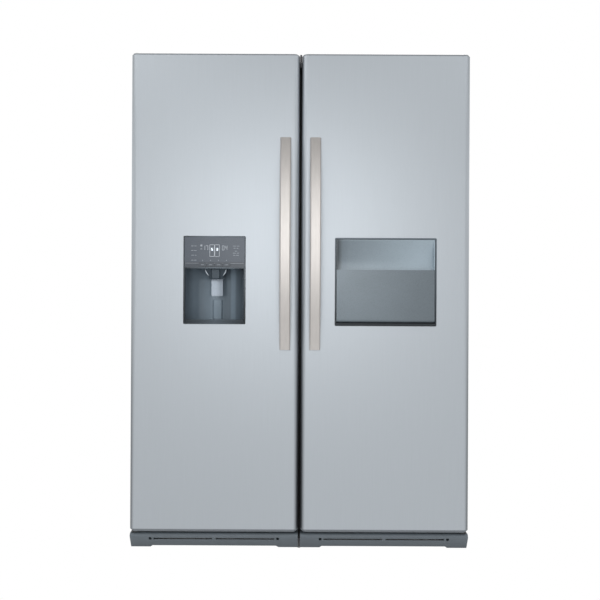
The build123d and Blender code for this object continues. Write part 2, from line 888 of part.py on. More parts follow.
def dispenser_housing():
    """The dispenser moulding: bezel, pocket for the controls and the bowed recess for a glass."""
    y_low = y_front - bezel_proud
    y_flat = y_front + bezel_depth
    control_half = dispenser_width / 2 - dispenser_bezel
    box_half = dispenser_width / 2 - bezel_lap - fit
    body = upright(panel(dispenser_width, z_dispenser, z_dispenser_top, bezel_radius), y_low, y_front)
    body += block((-box_half, box_half), (y_front, y_flat),
                  (z_dispenser + bezel_lap + fit, z_dispenser_top - bezel_lap - fit))
    body += block((-box_half, box_half), (y_flat, y_front + control_depth + tub_wall),
                  (z_control - tub_wall, z_dispenser_top - bezel_lap - fit))
    body += standing(tub_plan(tub_wall), z_tub - tub_wall, z_tub_top + tub_wall)
    body -= block((-control_half, control_half), (y_low, y_front + control_depth),
                  (z_control, z_dispenser_top - dispenser_bezel))
    body -= block((-tub_half, tub_half), (y_low, y_front), (z_tub, z_tub_top))
    recess = standing(tub_plan(0), z_tub, z_tub_top)
    body -= recess
    y_deep = y_front + tub_depth
    rib = block((-rib_width / 2, rib_width / 2), (y_deep - rib_proud, y_deep + tub_wall / 2),
                (z_tub + tray_height + tray_gap, z_tub + rib_top))
    body += chamfer(rib.edges().filter_by(Axis.Z).group_by(Axis.Y)[0], rib_proud / 2)
    hole_half = hopper_top_width / 2
    y_hole = y_front + hopper_middle
    body -= block((-hole_half, hole_half), (y_hole - hopper_top_depth / 2, y_hole + hopper_top_depth / 2),
                  (z_tub_top, z_tub_top + tub_wall))
    return body + paddle_ears()


def paddle_ears():
    """Two ears under the roof of the recess that carry the paddle pin."""
    y = y_front + paddle_back
    z = z_tub_top - paddle_drop
    low = z - paddle_eye
    tab = Pos(y, (low + z_tub_top) / 2) * Rectangle(2 * paddle_eye, z_tub_top - low)
    tab = chamfer(tab.vertices().group_by(Axis.Y)[0], paddle_eye / 2)
    tab -= Pos(y, z) * Circle(paddle_pin + pin_clearance)
    inner = paddle_width / 2 + slide_clearance
    return [sideways(tab, inner, inner + paddle_ear), sideways(tab, -inner - paddle_ear, -inner)]


def paddle():
    """The paddle that a glass pushes: a hollowed pad under its pivot pin."""
    y = y_front + paddle_back
    z = z_tub_top - paddle_drop
    half = paddle_width / 2
    reach = half + slide_clearance + paddle_ear
    outline = cut_panel(paddle_width, z - paddle_height, z, paddle_eye / 2)
    pad = upright(outline, y - paddle_sheet / 2, y + paddle_sheet / 2)
    pad += along_x(paddle_eye - slide_clearance, -half, half, y, z)
    bowl = (half ** 2 + paddle_sheet ** 2) / paddle_sheet
    pad -= along_z(bowl, 0, y - bowl, z - paddle_height, z - paddle_eye)
    return pad + along_x(paddle_pin, -reach, reach, y, z)


def chute_side(inset):
    """The side view of the ice duct, from its mouth inside the freezer down to the hopper."""
    y_mouth = y_bump + liner_wall
    y_low = y_front + chute_front + inset
    y_high = y_front + hopper_middle + hopper_top_depth / 2 - inset
    z_low = z_tub_top + tub_wall
    rise = z_low + chute_mouth_low
    return make_face(Polyline((y_low, z_low), (y_low, rise), (y_mouth, z_low + chute_mouth_high - inset),
                              (y_mouth, rise + inset), (y_high, z_low), close=True))


def ice_chute():
    """The ice duct through the door and the tapered hopper that hangs in the recess."""
    half = chute_width / 2
    duct = sideways(chute_side(0), -half, half)
    duct -= sideways(chute_side(chute_wall), chute_wall - half, half - chute_wall)
    return duct + hopper(0) + spout() - hopper(chute_wall)


def taper(low_width, top_width, low, high, middle):
    """The outline of a funnel that widens upwards."""
    return make_face(Polyline((middle - low_width / 2, low), (middle + low_width / 2, low),
                              (middle + top_width / 2, high), (middle - top_width / 2, high), close=True))


def hopper(inset):
    """The tapered hopper at the foot of the duct, drawn in by inset."""
    low = z_tub_top - hopper_height
    high = z_tub_top + tub_wall + inset
    trim = 2 * (inset + fit)
    front = taper(hopper_low_width - trim, hopper_top_width - trim, low, high, 0)
    side = taper(hopper_low_depth - trim, hopper_top_depth - trim, low, high, y_front + hopper_middle)
    return upright(front, y_front, y_front + tub_depth) & sideways(side, -half_width, half_width)


def spout():
    """The raised spout on the front of the hopper."""
    y_low = y_front + hopper_middle - hopper_top_depth / 2 - spout_proud
    body = block((-spout_width / 2, spout_width / 2), (y_low, y_front + hopper_middle),
                 (z_tub_top - hopper_height, z_tub_top - fit))
    return chamfer(body.faces().sort_by(Axis.Y)[0].edges(), spout_proud / 2)


def drip_tray():
    """The drip tray, a hollow bow fronted tray under a slotted top, that slides out forwards."""
    z_low = z_tub + fit
    z_high = z_low + tray_height
    lid = z_high - tray_wall
    tray = standing(tub_plan(-tray_gap), z_low, z_high)
    tray -= standing(tub_plan(-tray_gap - tray_wall), z_low + tray_wall, lid) & block(
        (-half_width, half_width), (y_front + tray_wall, y_front + tub_depth), (z_low, z_high))
    y_middle = y_front + tray_slot_length
    for index in range(tray_slot_count):
        x = (index - (tray_slot_count - 1) / 2) * tray_slot_pitch
        tray -= block((x - tray_slot / 2, x + tray_slot / 2),
                      (y_middle - tray_slot_length / 2, y_middle + tray_slot_length / 2), (lid, z_high))
    return tray


def key_middle(index):
    """The x and z of a key's middle on the control fascia."""
    return (index - (key_count - 1) / 2) * key_pitch, z_control + strip_line / 2


def fascia():
    """The control fascia, with a groove above its row of keys."""
    half = dispenser_width / 2 - dispenser_bezel - fascia_gap
    y_low = y_front - bezel_proud
    z_line = z_control + strip_line
    plate = block((-half, half), (y_low, y_low + fascia_sheet),
                  (z_control + fascia_gap, z_dispenser_top - dispenser_bezel - fascia_gap))
    plate -= block((-half, half), (y_low, y_low + groove), (z_line - groove / 2, z_line + groove / 2))
    for index in range(key_count):
        x, z = key_middle(index)
        reach = key_width / 2 + key_gap
        rise = key_height / 2 + key_gap
        plate -= block((x - reach, x + reach), (y_low, y_low + fascia_sheet), (z - rise, z + rise))
    for x in (-half / 2, half / 2):
        plate += block((x - fascia_post, x + fascia_post), (y_low + fascia_sheet, y_front + control_depth),
                       (z_line + strip_line - fascia_post, z_line + strip_line + fascia_post))
    return plate


def key(index):
    """One push key: a cap with a retaining flange behind the fascia."""
    x, z = key_middle(index)
    y_cap = y_front - bezel_proud - key_proud
    y_flange = y_front - bezel_proud + fascia_sheet + fit
    reach = key_width / 2
    rise = key_height / 2
    cap = block((x - reach, x + reach), (y_cap, y_flange + key_flange), (z - rise, z + rise))
    cap = chamfer(cap.faces().sort_by(Axis.Y)[0].edges(), key_proud / 2)
    cap += block((x - reach - key_rim, x + reach + key_rim), (y_flange, y_flange + key_flange),
                 (z - rise - key_rim, z + rise + key_rim))
    return cap + block((x - key_flange, x + key_flange), (y_flange, y_flange + key_depth),
                       (z - key_flange, z + key_flange))


def dispenser_bump():
    """The bulge of the door liner over the dispenser: its outside and the hollow behind it."""
    half = dispenser_width / 2 + bump_margin
    low = z_dispenser - bump_margin
    high = z_dispenser_top + bump_margin
    y_low = y_door_back - liner_wall
    bulge = upright(cut_panel(2 * half, low, high, bump_corner), y_low, y_bump + liner_wall)
    bulge = chamfer(bulge.faces().sort_by(Axis.Y)[-1].edges(), bump_edge)
    hollow_half = half - liner_wall
    corner = bump_corner - liner_wall / 2
    hollow = upright(cut_panel(2 * hollow_half, low + liner_wall, high - liner_wall, corner), y_low, y_bump)
    mouth_half = chute_width / 2 + fit
    mouth_low = z_tub_top + tub_wall + chute_mouth_low - liner_wall
    mouth = block((-mouth_half, mouth_half), (y_bump, y_bump + liner_wall),
                  (mouth_low, z_tub_top + tub_wall + chute_mouth_high + fit))
    return bulge, hollow + mouth


def freezer_door_liner():
    """The freezer door liner with the bulge over the dispenser and the mouth of the ice duct."""
    bulge, hollow = dispenser_bump()
    return door_liner(freezer_bins, hollow) + (bulge - hollow)


def bar_window(grow):
    """The hole through the refrigerator door for the home bar."""
    half = bar_width / 2 - bezel_lap + grow
    return block((-half, half), (y_front - bezel_proud, y_door_back + dyke_depth),
                 (z_bar + bezel_lap - grow, z_bar_top - bezel_lap + grow))


def home_bar_frame():
    """The home bar frame: a thin bezel and a tunnel through the door face, bored for the flap pins."""
    box_half = bar_width / 2 - bezel_lap - fit
    frame = upright(panel(bar_width, z_bar, z_bar_top, bezel_radius), y_front - bezel_proud, y_front)
    frame += block((-box_half, box_half), (y_front, y_front + bar_tunnel),
                   (z_bar + bezel_lap + fit, z_bar_top - bezel_lap - fit))
    frame -= block((-bar_half, bar_half), (y_front - bezel_proud, y_front + bar_tunnel),
                   (z_sill, z_bar_top - bezel))
    return frame - along_x(flap_pin + pin_clearance, -box_half, box_half, y_flap_axis, z_flap_axis)


def home_bar_case():
    """The bottle case behind the flap, a tub on its back with a low rail in front of the bottles."""
    y_low = y_front + bar_tunnel
    half = bar_width / 2 - bezel_lap - fit
    low = z_bar + bezel_lap + fit
    high = z_bar_top - bezel_lap - fit
    case = upright(panel(2 * half, low, high, case_radius), y_low, y_front + case_depth)
    case = chamfer(case.faces().sort_by(Axis.Y)[-1].edges(), case_edge)
    case -= upright(panel(2 * (half - tub_wall), low + tub_wall, high - tub_wall, case_radius - tub_wall),
                    y_low, y_front + case_depth - tub_wall)
    y_rail = y_low + slide_clearance
    return case + block((-half + tub_wall / 2, half - tub_wall / 2), (y_rail, y_rail + tub_wall),
                        (z_sill + case_rail, z_sill + case_rail + case_rail_height))


def flap_side():
    """The side view of the flap: flat face, half round lower edge about the hinge axis, square back."""
    y_rear = y_front + flap_body
    slant = barrel_radius * math.sqrt(0.5)
    arc = ThreePointArc((y_front, z_flap_axis), (y_flap_axis - slant, z_flap_axis - slant),
                        (y_flap_axis, z_flap))
    rest = Polyline((y_flap_axis, z_flap), (y_rear, z_flap), (y_rear, z_flap_top), (y_front, z_flap_top),
                    (y_front, z_flap_axis))
    return make_face(arc + rest)


def scoop_side():
    """The side view of the grip scoop: it deepens downwards and runs in behind the panel's top edge."""
    top = z_flap_top - scoop_top
    low = top - scoop_height
    deep = y_front + scoop_depth
    curve = ThreePointArc((y_front, top), (y_front + scoop_bulge, top - scoop_bulge_drop), (deep, low))
    rest = Polyline((deep, low), (deep, low - scoop_undercut), (y_front + scoop_lip, low - scoop_undercut),
                    (y_front + scoop_lip, low), (y_front, low), (y_front, top))
    return make_face(curve + rest)


def home_bar_flap():
    """The home bar flap with its grip scoop and its two hinge pins."""
    flap = sideways(flap_side(), -flap_half, flap_half)
    scoop_half = flap_half - scoop_margin
    flap -= sideways(scoop_side(), -scoop_half, scoop_half)
    reach = bar_half + flap_pin_length
    for low, high in ((-reach, -flap_half), (flap_half, reach)):
        flap += along_x(flap_pin, low, high, y_flap_axis, z_flap_axis)
    return flap


def home_bar_flap_liner():
    """The white inner face of the flap, dished to serve as a small table when it is open."""
    y_low = y_front + flap_body
    low = z_flap + barrel_radius
    high = z_flap_top - flap_liner_margin
    half = flap_half - flap_liner_margin
    face = upright(cut_panel(2 * half, low, high, case_radius), y_low, y_low + flap_liner_depth)
    dish = cut_panel(2 * (half - flap_dish_margin), low + flap_dish_margin, high - flap_dish_margin,
                 case_radius / 2)
    return face - upright(dish, y_low + flap_liner_depth - flap_dish, y_low + flap_liner_depth)


def shelf(level, y_end):
    """A glass shelf on its ribs."""
    half = inner_half - shelf_gap
    return block((-half, half), (y_shelf + trim_cover, y_end - shelf_gap), (level, level + shelf_sheet))


def shelf_trim(level):
    """The moulded trim over the front edge of a glass shelf."""
    half = inner_half - rib_depth - shelf_gap
    y_low = y_shelf + trim_cover - trim_depth / 2
    low = level + (shelf_sheet - trim_height) / 2
    side = Rectangle(trim_depth, trim_height)
    side = chamfer(side.vertices().group_by(Axis.X)[0], tub_wall)
    trim = sideways(Pos(y_low + trim_depth / 2, low + trim_height / 2) * side, -half, half)
    return trim - block((-half, half), (y_shelf + trim_cover, y_low + trim_depth),
                        (level, level + shelf_sheet))


def drawer(rim, y_end):
    """A drawer hung by its side rims, with a thick front and a finger recess."""
    low = rim - drawer_height
    half = inner_half - rib_depth - slide_clearance
    y_low = y_shelf + drawer_front
    body = tub(2 * half, y_low, y_end, low, drawer_height + drawer_rim, drawer_radius, tub_wall)
    for side in (-1, 1):
        edge = side * (half - tub_wall / 2)
        out = side * (half + drawer_rim_width - slide_clearance)
        body += block((min(edge, out), max(edge, out)), (y_low + drawer_radius, y_end - drawer_radius),
                      (rim, rim + drawer_rim))
    front_half = inner_half - shelf_gap
    front = block((-front_half, front_half), (y_shelf - drawer_front, y_shelf),
                  (low, rim + drawer_rim))
    front += block((-half, half), (y_shelf, y_low + tub_wall), (low, rim + drawer_rim))
    front = chamfer(front.faces().sort_by(Axis.Y)[0].edges(), drawer_rim)
    grip = rim - drawer_grip_height
    front -= block((-drawer_grip_width / 2, drawer_grip_width / 2),
                   (y_shelf - drawer_front, y_shelf - drawer_front + drawer_grip_depth),
                   (grip - drawer_grip_height, grip))
    return body + front


def air_panel():
    """The freezer's back panel with air slots and the fan grille."""
    y_high = y_air_panel + panel_sheet
    half = inner_half - fit
    plate = upright(cut_panel(2 * half, z_step + fit, z_ceiling - fit, corner_radius), y_air_panel, y_high)
    for row in range(vent_rows):
        z = vent_low + row * vent_pitch
        for x in (-inner_half / 2, inner_half / 2):
            plate -= block((x - vent_width / 2, x + vent_width / 2), (y_air_panel, y_high),
                           (z - vent_height / 2, z + vent_height / 2))
    plate -= along_y(fan_opening, 0, y_air_panel, y_high, z_fan)
    for turn in range(grille_spokes):
        bar = Pos(fan_opening / 2 + sheet, 0) * Rectangle(fan_opening, grille_bar)
        bar = Pos(0, z_fan) * Rot(0, 0, turn * 360 / grille_spokes) * bar
        plate += upright(bar, y_air_panel, y_air_panel + grille_bar)
    plate += along_y(grille_boss, 0, y_air_panel, y_high, z_fan)
    return plate - along_y(fan_shaft + pin_clearance, 0, y_air_panel + grille_bar, y_high, z_fan)


def fan():
    """The freezer fan: tilted blades on a hub, with a shaft that runs in the grille's boss."""
    y_low = y_air_panel + panel_sheet + fan_standoff
    wheel = along_y(fan_hub, 0, y_low, y_low + fan_depth, z_fan)
    wheel += along_y(fan_shaft, 0, y_air_panel + grille_bar + fit, y_low, z_fan)
    length = fan_radius - fan_hub + fan_root
    blade = Rectangle(length, fan_blade_chord)
    blade = chamfer(blade.vertices().group_by(Axis.X)[-1], fan_hub / 2)
    blade = extrude(blade, fan_blade_sheet / 2, both=True)
    blade = Pos(fan_radius - length / 2, 0, 0) * Rot(90 + fan_pitch, 0, 0) * blade
    middle = Pos(0, y_low + fan_depth / 2, z_fan)
    for turn in range(fan_blades):
        wheel += middle * Rot(0, turn * 360 / fan_blades, 0) * blade
    return wheel


def evaporator():
    """The freezer coil: a stack of fins between two header bars, against the back of the liner."""
    y_low = y_inner_back - coil_depth
    half = coil_width / 2
    coil = block((-half, half), (y_low + coil_bar, y_inner_back), (coil_low, coil_low + coil_bar))
    coil += block((-half, half), (y_low + coil_bar, y_inner_back),
                  (coil_low + coil_height - coil_bar, coil_low + coil_height))
    for index in range(fin_count):
        x = -half + (coil_width - fin_sheet) * index / (fin_count - 1)
        coil += block((x, x + fin_sheet), (y_low, y_inner_back), (coil_low, coil_low + coil_height))
    return coil


def ice_maker():
    """The ice maker: a row of half round moulds with a motor box at the front."""
    y_high = y_air_panel
    half = maker_width / 2
    high = z_maker + maker_height
    tray = block((-half, half), (y_high - maker_length, y_high), (z_maker, high))
    pitch = maker_length / maker_cells
    for index in range(maker_cells):
        y = y_high - maker_length + (index + 0.5) * pitch
        tray -= along_y(maker_cell, 0, y - maker_cell_length / 2, y + maker_cell_length / 2, high)
    motor = block((-half, half), (y_high - maker_length - maker_motor, y_high - maker_length),
                  (z_maker, z_maker + maker_motor_height))
    return tray + chamfer(motor.edges().filter_by(Axis.Y), maker_motor_edge)


def ice_bucket():
    """The ice bucket with the spout that feeds the duct in the door."""
    glass = freezer_shelves[1] + shelf_sheet
    low = glass + (trim_height - shelf_sheet) / 2
    y_low = y_cab + bucket_front
    y_high = y_air_panel - shelf_gap
    bucket = tub(bucket_width, y_low, y_high, low, bucket_height, bucket_radius, tub_wall)
    rest = bucket_width / 2 - bucket_radius
    bucket += block((-rest, rest), (y_high - 2 * bucket_radius, y_high - bucket_radius), (glass, low))
    return bucket - along_y(bucket_spout, 0, y_low, y_low + tub_wall, low + bucket_spout + tub_wall)


def air_duct():
    """The refrigerator's upright air duct with its outlets."""
    y_low = y_inner_back - duct_depth
    plan = rounded_plan(duct_width, duct_depth, duct_radius, y_low)
    duct = standing(plan, duct_low, z_duct_top)
    half = duct_width / 2 - tub_wall
    duct -= block((-half, half), (y_low + duct_radius, y_inner_back),
                  (duct_low + tub_wall, z_duct_top - tub_wall))
    for index in range(duct_slot_count):
        z = duct_low + duct_slot_pitch * (index + 1)
        duct -= block((-duct_slot_width / 2, duct_slot_width / 2), (y_low, y_inner_back),
                      (z - duct_slot / 2, z + duct_slot / 2))
    return duct


def lamp():
    """The lens of the ceiling lamp."""
    y_low = y_cab + lamp_back
    lens = block((-lamp_width / 2, lamp_width / 2), (y_low, y_low + lamp_depth),
                 (z_ceiling - lamp_height, z_ceiling))
    lens = chamfer(lens.edges().filter_by(Axis.Z), lamp_edge)
    return chamfer(lens.faces().sort_by(Axis.Z)[0].edges(), lamp_edge)


def rib_levels(shelves, rims, y_full):
    """Where the liner carries shelves and drawers, and how far back each pair of ribs runs."""
    low_end = y_step - shelf_gap
    levels = [(level, y_full) for level in shelves]
    return levels + [(rim, low_end if rim < z_step + drawer_height else y_full) for rim in rims]


def shelves(y_freezer, y_fridge):
    """All the glass shelves and all their trims, as two groups."""
    glass = [place(shelf(level, y_freezer), -1) for level in freezer_shelves]
    glass += [place(shelf(level, y_fridge), 1) for level in fridge_shelves]
    trims = [place(shelf_trim(level), -1) for level in freezer_shelves]
    trims += [place(shelf_trim(level), 1) for level in fridge_shelves]
    return Compound(glass), Compound(trims)


def door_parts(name, side, bins, outer_window, foam_window, liner_shape):
    """The parts that both doors share."""
    return {
        name + "_door_skin": place(door_skin(outer_window), side),
        name + "_door_caps": place(door_caps(), side),
        name + "_door_insulation": place(door_insulation(foam_window), side),
        name + "_door_liner": place(liner_shape, side),
        name + "_door_gasket": place(gasket(), side),
        name + "_door_handle": place(handle(), side),
        name + "_door_bins": place(door_bins(bins), side),
    }


def cabinet_parts():
    """The parts of the two cabinets."""
    y_freezer = y_air_panel
    y_fridge = y_inner_back - duct_depth
    rims = (lower_rim, middle_rim, upper_rim)
    freezer_ribs = rib_levels(freezer_shelves, rims, y_freezer)
    fridge_ribs = rib_levels(fridge_shelves, rims[:2], y_fridge)
    glass, trims = shelves(y_freezer, y_fridge)
    y_low_drawer = y_step - shelf_gap
    full = y_freezer - shelf_gap
    parts = {
        "freezer_cabinet_shell": place(cabinet_shell(), -1),
        "fridge_cabinet_shell": place(cabinet_shell(), 1),
        "freezer_liner": place(liner(freezer_ribs, y_freezer - fit), -1),
        "fridge_liner": place(liner(fridge_ribs, y_inner_back), 1),
        "freezer_kick_plate": place(kick_plate(), -1),
        "fridge_kick_plate": place(kick_plate(), 1),
        "cabinet_insulation": pair(insulation()),
        "back_panels": pair(back_panel()),
        "base_pans": pair(base_pan()),
        "compressors": pair(compressor()),
        "machine_covers": pair(machine_cover()),
        "rear_rollers": pair(rollers()),
        "hinge_covers": pair(hinge_cover()),
        "interior_lamps": pair(lamp()),
        "door_hinges": Compound([pair(top_hinge()), pair(bottom_hinge())]),
        "joining_strip": joining_strip(),
        "joining_plates": joining_plates(),
        "glass_shelves": glass,
        "shelf_trims": trims,
        "freezer_air_panel": place(air_panel(), -1),
        "freezer_fan": place(fan(), -1),
        "evaporator": place(evaporator(), -1),
        "ice_maker": place(ice_maker(), -1),
        "ice_bucket": place(ice_bucket(), -1),
        "freezer_drawers": Compound([place(drawer(rim, full), -1) for rim in rims[1:]]),
        "freezer_drawer_lower": place(drawer(lower_rim, y_low_drawer), -1),
        "fridge_air_duct": place(air_duct(), 1),
        "crisper_upper": place(drawer(middle_rim, y_fridge - shelf_gap), 1),
        "crisper_lower": place(drawer(lower_rim, y_low_drawer), 1),
    }
    for name, side in (("freezer", -1), ("fridge", 1)):
        for hand, x in (("left", foot_inset - half_width), ("right", half_width - foot_inset)):
            parts[name + "_foot_" + hand] = Pos(side * half_pitch, 0, 0) * foot(x)
    return parts


def dispenser_parts():
    """The dispenser in the freezer door."""
    parts = {
        "dispenser_housing": dispenser_housing(),
        "dispenser_fascia": fascia(),
        "ice_chute": ice_chute(),
        "dispenser_paddle": paddle(),
        "drip_tray": drip_tray(),
    }
    for index in range(key_count):
        parts["key_" + str(index + 1)] = key(index)
    return {name: place(shape, -1) for name, shape in parts.items()}


def home_bar_parts():
    """The home bar in the refrigerator door."""
    parts = {
        "home_bar_frame": home_bar_frame(),
        "home_bar_case": home_bar_case(),
        "home_bar_flap": home_bar_flap(),
        "home_bar_flap_liner": home_bar_flap_liner(),
    }
    return {name: place(shape, 1) for name, shape in parts.items()}


def main():
    """Makes every part and writes one file for each."""
    parts = cabinet_parts()
    opening = dispenser_window()
    parts.update(door_parts("freezer", -1, freezer_bins, opening, opening, freezer_door_liner()))
    parts.update(door_parts("fridge", 1, fridge_bins, bar_window(0), bar_window(fit),
                            door_liner(fridge_bins, bar_window(0))))
    parts.update(dispenser_parts())
    parts.update(home_bar_parts())
    os.makedirs("parts", exist_ok=True)
    for name, shape in parts.items():
        export_step(shape, "parts/" + name + ".step")


main()
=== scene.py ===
import json
import math
import bpy
import bmesh
from mathutils import Matrix, Vector


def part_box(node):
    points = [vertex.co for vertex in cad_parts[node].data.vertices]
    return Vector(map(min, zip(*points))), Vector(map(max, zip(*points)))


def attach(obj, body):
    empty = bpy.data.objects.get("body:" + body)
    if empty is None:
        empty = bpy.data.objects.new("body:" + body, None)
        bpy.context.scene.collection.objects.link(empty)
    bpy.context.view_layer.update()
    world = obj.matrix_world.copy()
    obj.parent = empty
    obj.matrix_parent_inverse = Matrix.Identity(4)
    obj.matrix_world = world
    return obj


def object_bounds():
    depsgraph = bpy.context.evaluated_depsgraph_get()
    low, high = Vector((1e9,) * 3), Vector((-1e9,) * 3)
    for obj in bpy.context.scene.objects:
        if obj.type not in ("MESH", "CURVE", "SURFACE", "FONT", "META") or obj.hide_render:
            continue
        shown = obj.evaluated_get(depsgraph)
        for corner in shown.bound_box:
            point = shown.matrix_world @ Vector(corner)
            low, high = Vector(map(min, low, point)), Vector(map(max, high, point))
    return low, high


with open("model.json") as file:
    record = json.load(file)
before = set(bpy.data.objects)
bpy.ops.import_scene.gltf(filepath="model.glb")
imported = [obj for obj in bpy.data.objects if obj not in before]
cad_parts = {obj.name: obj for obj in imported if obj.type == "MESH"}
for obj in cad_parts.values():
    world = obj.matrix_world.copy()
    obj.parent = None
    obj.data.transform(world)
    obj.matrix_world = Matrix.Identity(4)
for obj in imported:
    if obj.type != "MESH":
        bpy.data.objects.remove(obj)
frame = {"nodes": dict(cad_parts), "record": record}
cad_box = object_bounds()

MM = 0.001
DOOR = "freezer_door"
CABINETS = "cabinets"


# Shader nodes

def node(tree, kind, **values):
    """Adds a shader node and sets its plain properties."""
    made = tree.nodes.new(kind)
    for key, value in values.items():
        setattr(made, key, value)
    return made


def part_of(tree, kind, axis):
    """One axis of a texture coordinate, such as the place on the object in metres or its normal."""
    coords = node(tree, "ShaderNodeTexCoord")
    parts = node(tree, "ShaderNodeSeparateXYZ")
    tree.links.new(coords.outputs[kind], parts.inputs["Vector"])
    return parts.outputs[axis]


def mapped(tree, value, low, high, first=0.0, last=1.0, curve="LINEAR"):
    """Maps a value that runs from low to high to the range first to last, held at both ends."""
    ranged = node(tree, "ShaderNodeMapRange", interpolation_type=curve)
    ranged.inputs["From Min"].default_value = low
    ranged.inputs["From Max"].default_value = high
    ranged.inputs["To Min"].default_value = first
    ranged.inputs["To Max"].default_value = last
    tree.links.new(value, ranged.inputs["Value"])
    return ranged.outputs["Result"]


def worked(tree, operation, *values):
    """The result of one arithmetic node on plain numbers or other nodes' outputs."""
    made = node(tree, "ShaderNodeMath", operation=operation)
    for socket, value in zip(made.inputs, values):
        if isinstance(value, float):
            socket.default_value = value
        else:
            tree.links.new(value, socket)
    return made.outputs[0]


def between(tree, factor, first, last):
    """Mixes two values by a factor."""
    mix = node(tree, "ShaderNodeMix", data_type="FLOAT")
    tree.links.new(factor, mix.inputs["Factor"])
    tree.links.new(first, mix.inputs["A"])
    tree.links.new(last, mix.inputs["B"])
    return mix.outputs["Result"]


def along(tree, axis, low, high, first=0.0, last=1.0):
    """A value that runs from first to last between two places on one of the object's axes."""
    return mapped(tree, part_of(tree, "Object", axis), low, high, first, last)


SHARP = 0.5 * MM


def step_at(tree, axis, place, first=0.0, last=1.0):
    """A value that changes sharply at a place on one of the object's axes."""
    return along(tree, axis, place - SHARP, place + SHARP, first, last)


def banded(tree, axis, low, high, bands):
    """A value that passes through bands: each is a share of the way from low to high, and a shade."""
    ramp = node(tree, "ShaderNodeValToRGB")
    stops = ramp.color_ramp.elements
    stops.remove(stops[-1])
    for _ in bands[1:]:
        stops.new(1.0)
    for stop, (place, shade) in zip(stops, bands):
        stop.position = place
        stop.color = (shade, shade, shade, 1.0)
    tree.links.new(along(tree, axis, low, high), ramp.inputs["Fac"])
    return ramp.outputs["Color"]


# Finishes

# The range that most of a noise value lies in
NOISE_LOW, NOISE_HIGH = 0.3, 0.7
NOISE_ROUGHNESS = 0.55
BROAD_DETAIL, GRAIN_DETAIL = 3.0, 2.0
LEAST_ROUGH = 0.02
EVEN = (1.0, 1.0, 1.0)


def object_noise(tree, scale, stretch, detail):
    """Noise in the object's own metres, stretched along an axis for brushed or drawn finishes."""
    coords = node(tree, "ShaderNodeTexCoord")
    mapping = node(tree, "ShaderNodeMapping")
    mapping.inputs["Scale"].default_value = stretch
    noise = node(tree, "ShaderNodeTexNoise")
    noise.inputs["Scale"].default_value = scale
    noise.inputs["Detail"].default_value = detail
    noise.inputs["Roughness"].default_value = NOISE_ROUGHNESS
    tree.links.new(coords.outputs["Object"], mapping.inputs["Vector"])
    tree.links.new(mapping.outputs["Vector"], noise.inputs["Vector"])
    return noise.outputs["Fac"]


def spread(tree, noise, low, high):
    """Maps most of a noise value to the range low to high."""
    return mapped(tree, noise, NOISE_LOW, NOISE_HIGH, low, high)


def tint(tree, noise, color, amount):
    """A colour that varies by amount, as a share, with a noise value."""
    mix = node(tree, "ShaderNodeMix", data_type="RGBA")
    dark = [c * (1.0 - amount) for c in color]
    light = [min(1.0, c * (1.0 + amount)) for c in color]
    mix.inputs["A"].default_value = (*dark, 1.0)
    mix.inputs["B"].default_value = (*light, 1.0)
    tree.links.new(spread(tree, noise, 0.0, 1.0), mix.inputs["Factor"])
    return mix.outputs["Result"]


def finish(name, color, rough, metallic=0.0, scale=60.0, stretch=EVEN, vary=0.04, rough_vary=0.06,
           fine=900.0, fine_stretch=EVEN, bump=0.0, depth=0.1 * MM, sockets=None, shade=None):
    """A finish with broad colour variation, fine grain in its roughness and a grain bump.

    shade, where given, makes a value over the object that the colour is multiplied by."""
    material = bpy.data.materials.new(name)
    material.use_nodes = True
    tree = material.node_tree
    shader = tree.nodes["Principled BSDF"]
    broad = object_noise(tree, scale, stretch, BROAD_DETAIL)
    grain = object_noise(tree, fine, fine_stretch, GRAIN_DETAIL)
    base = tint(tree, broad, color, vary)
    # The shade multiplies the colour: painted light and shade
    if shade:
        shaded = node(tree, "ShaderNodeVectorMath", operation="SCALE")
        tree.links.new(base, shaded.inputs[0])
        tree.links.new(shade(tree), shaded.inputs["Scale"])
        base = shaded.outputs[0]
    tree.links.new(base, shader.inputs["Base Color"])
    tree.links.new(spread(tree, grain, max(LEAST_ROUGH, rough - rough_vary), rough + rough_vary),
                   shader.inputs["Roughness"])
    shader.inputs["Metallic"].default_value = metallic
    if bump:
        bumped = node(tree, "ShaderNodeBump")
        bumped.inputs["Strength"].default_value = bump
        bumped.inputs["Distance"].default_value = depth
        tree.links.new(grain, bumped.inputs["Height"])
        tree.links.new(bumped.outputs["Normal"], shader.inputs["Normal"])
    for socket, value in (sockets or {}).items():
        shader.inputs[socket].default_value = value
    return material


# Painted light and shade by place on the object

# Up the doors, a painted reflection: the face, and the edges where the normal turns sideways from the first
# share to the last
FACE_REFLECTION_BANDS = ((0.0, 0.845), (0.25, 0.84), (0.45, 0.825), (0.65, 0.8), (0.85, 0.765), (1.0, 0.76))
EDGE_REFLECTION_BANDS = ((0.0, 0.32), (0.12, 0.34), (0.3, 0.45), (0.42, 0.6), (0.55, 0.8), (0.72, 0.95),
              (1.0, 0.66))
EDGE_TURN = (0.12, 0.8)


def door_painted_reflection(tree):
    """The doors: painted reflection, where the face lightens a little towards the floor and the rounded
    edges darken there.
    """
    low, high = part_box("freezer_door_skin")
    sideways = worked(tree, "ABSOLUTE", part_of(tree, "Normal", "X"))
    edge = mapped(tree, sideways, *EDGE_TURN, curve="SMOOTHSTEP")
    return between(tree, edge, banded(tree, "Z", low.z, high.z, FACE_REFLECTION_BANDS),
                   banded(tree, "Z", low.z, high.z, EDGE_REFLECTION_BANDS))


# Up the handles: a painted highlight and painted shade, as light falls on their bowed fronts
HANDLE_LIGHT_BANDS = ((0.0, 1.0), (0.15, 0.92), (0.35, 0.95), (0.55, 0.93), (0.75, 1.0), (0.87, 0.88),
                (1.0, 0.74))


def handle_painted_light(tree):
    """The handles: painted highlight and shade, a little darker below the middle and darkest towards their
    tops.
    """
    low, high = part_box("freezer_door_handle")
    return banded(tree, "Z", low.z, high.z, HANDLE_LIGHT_BANDS)
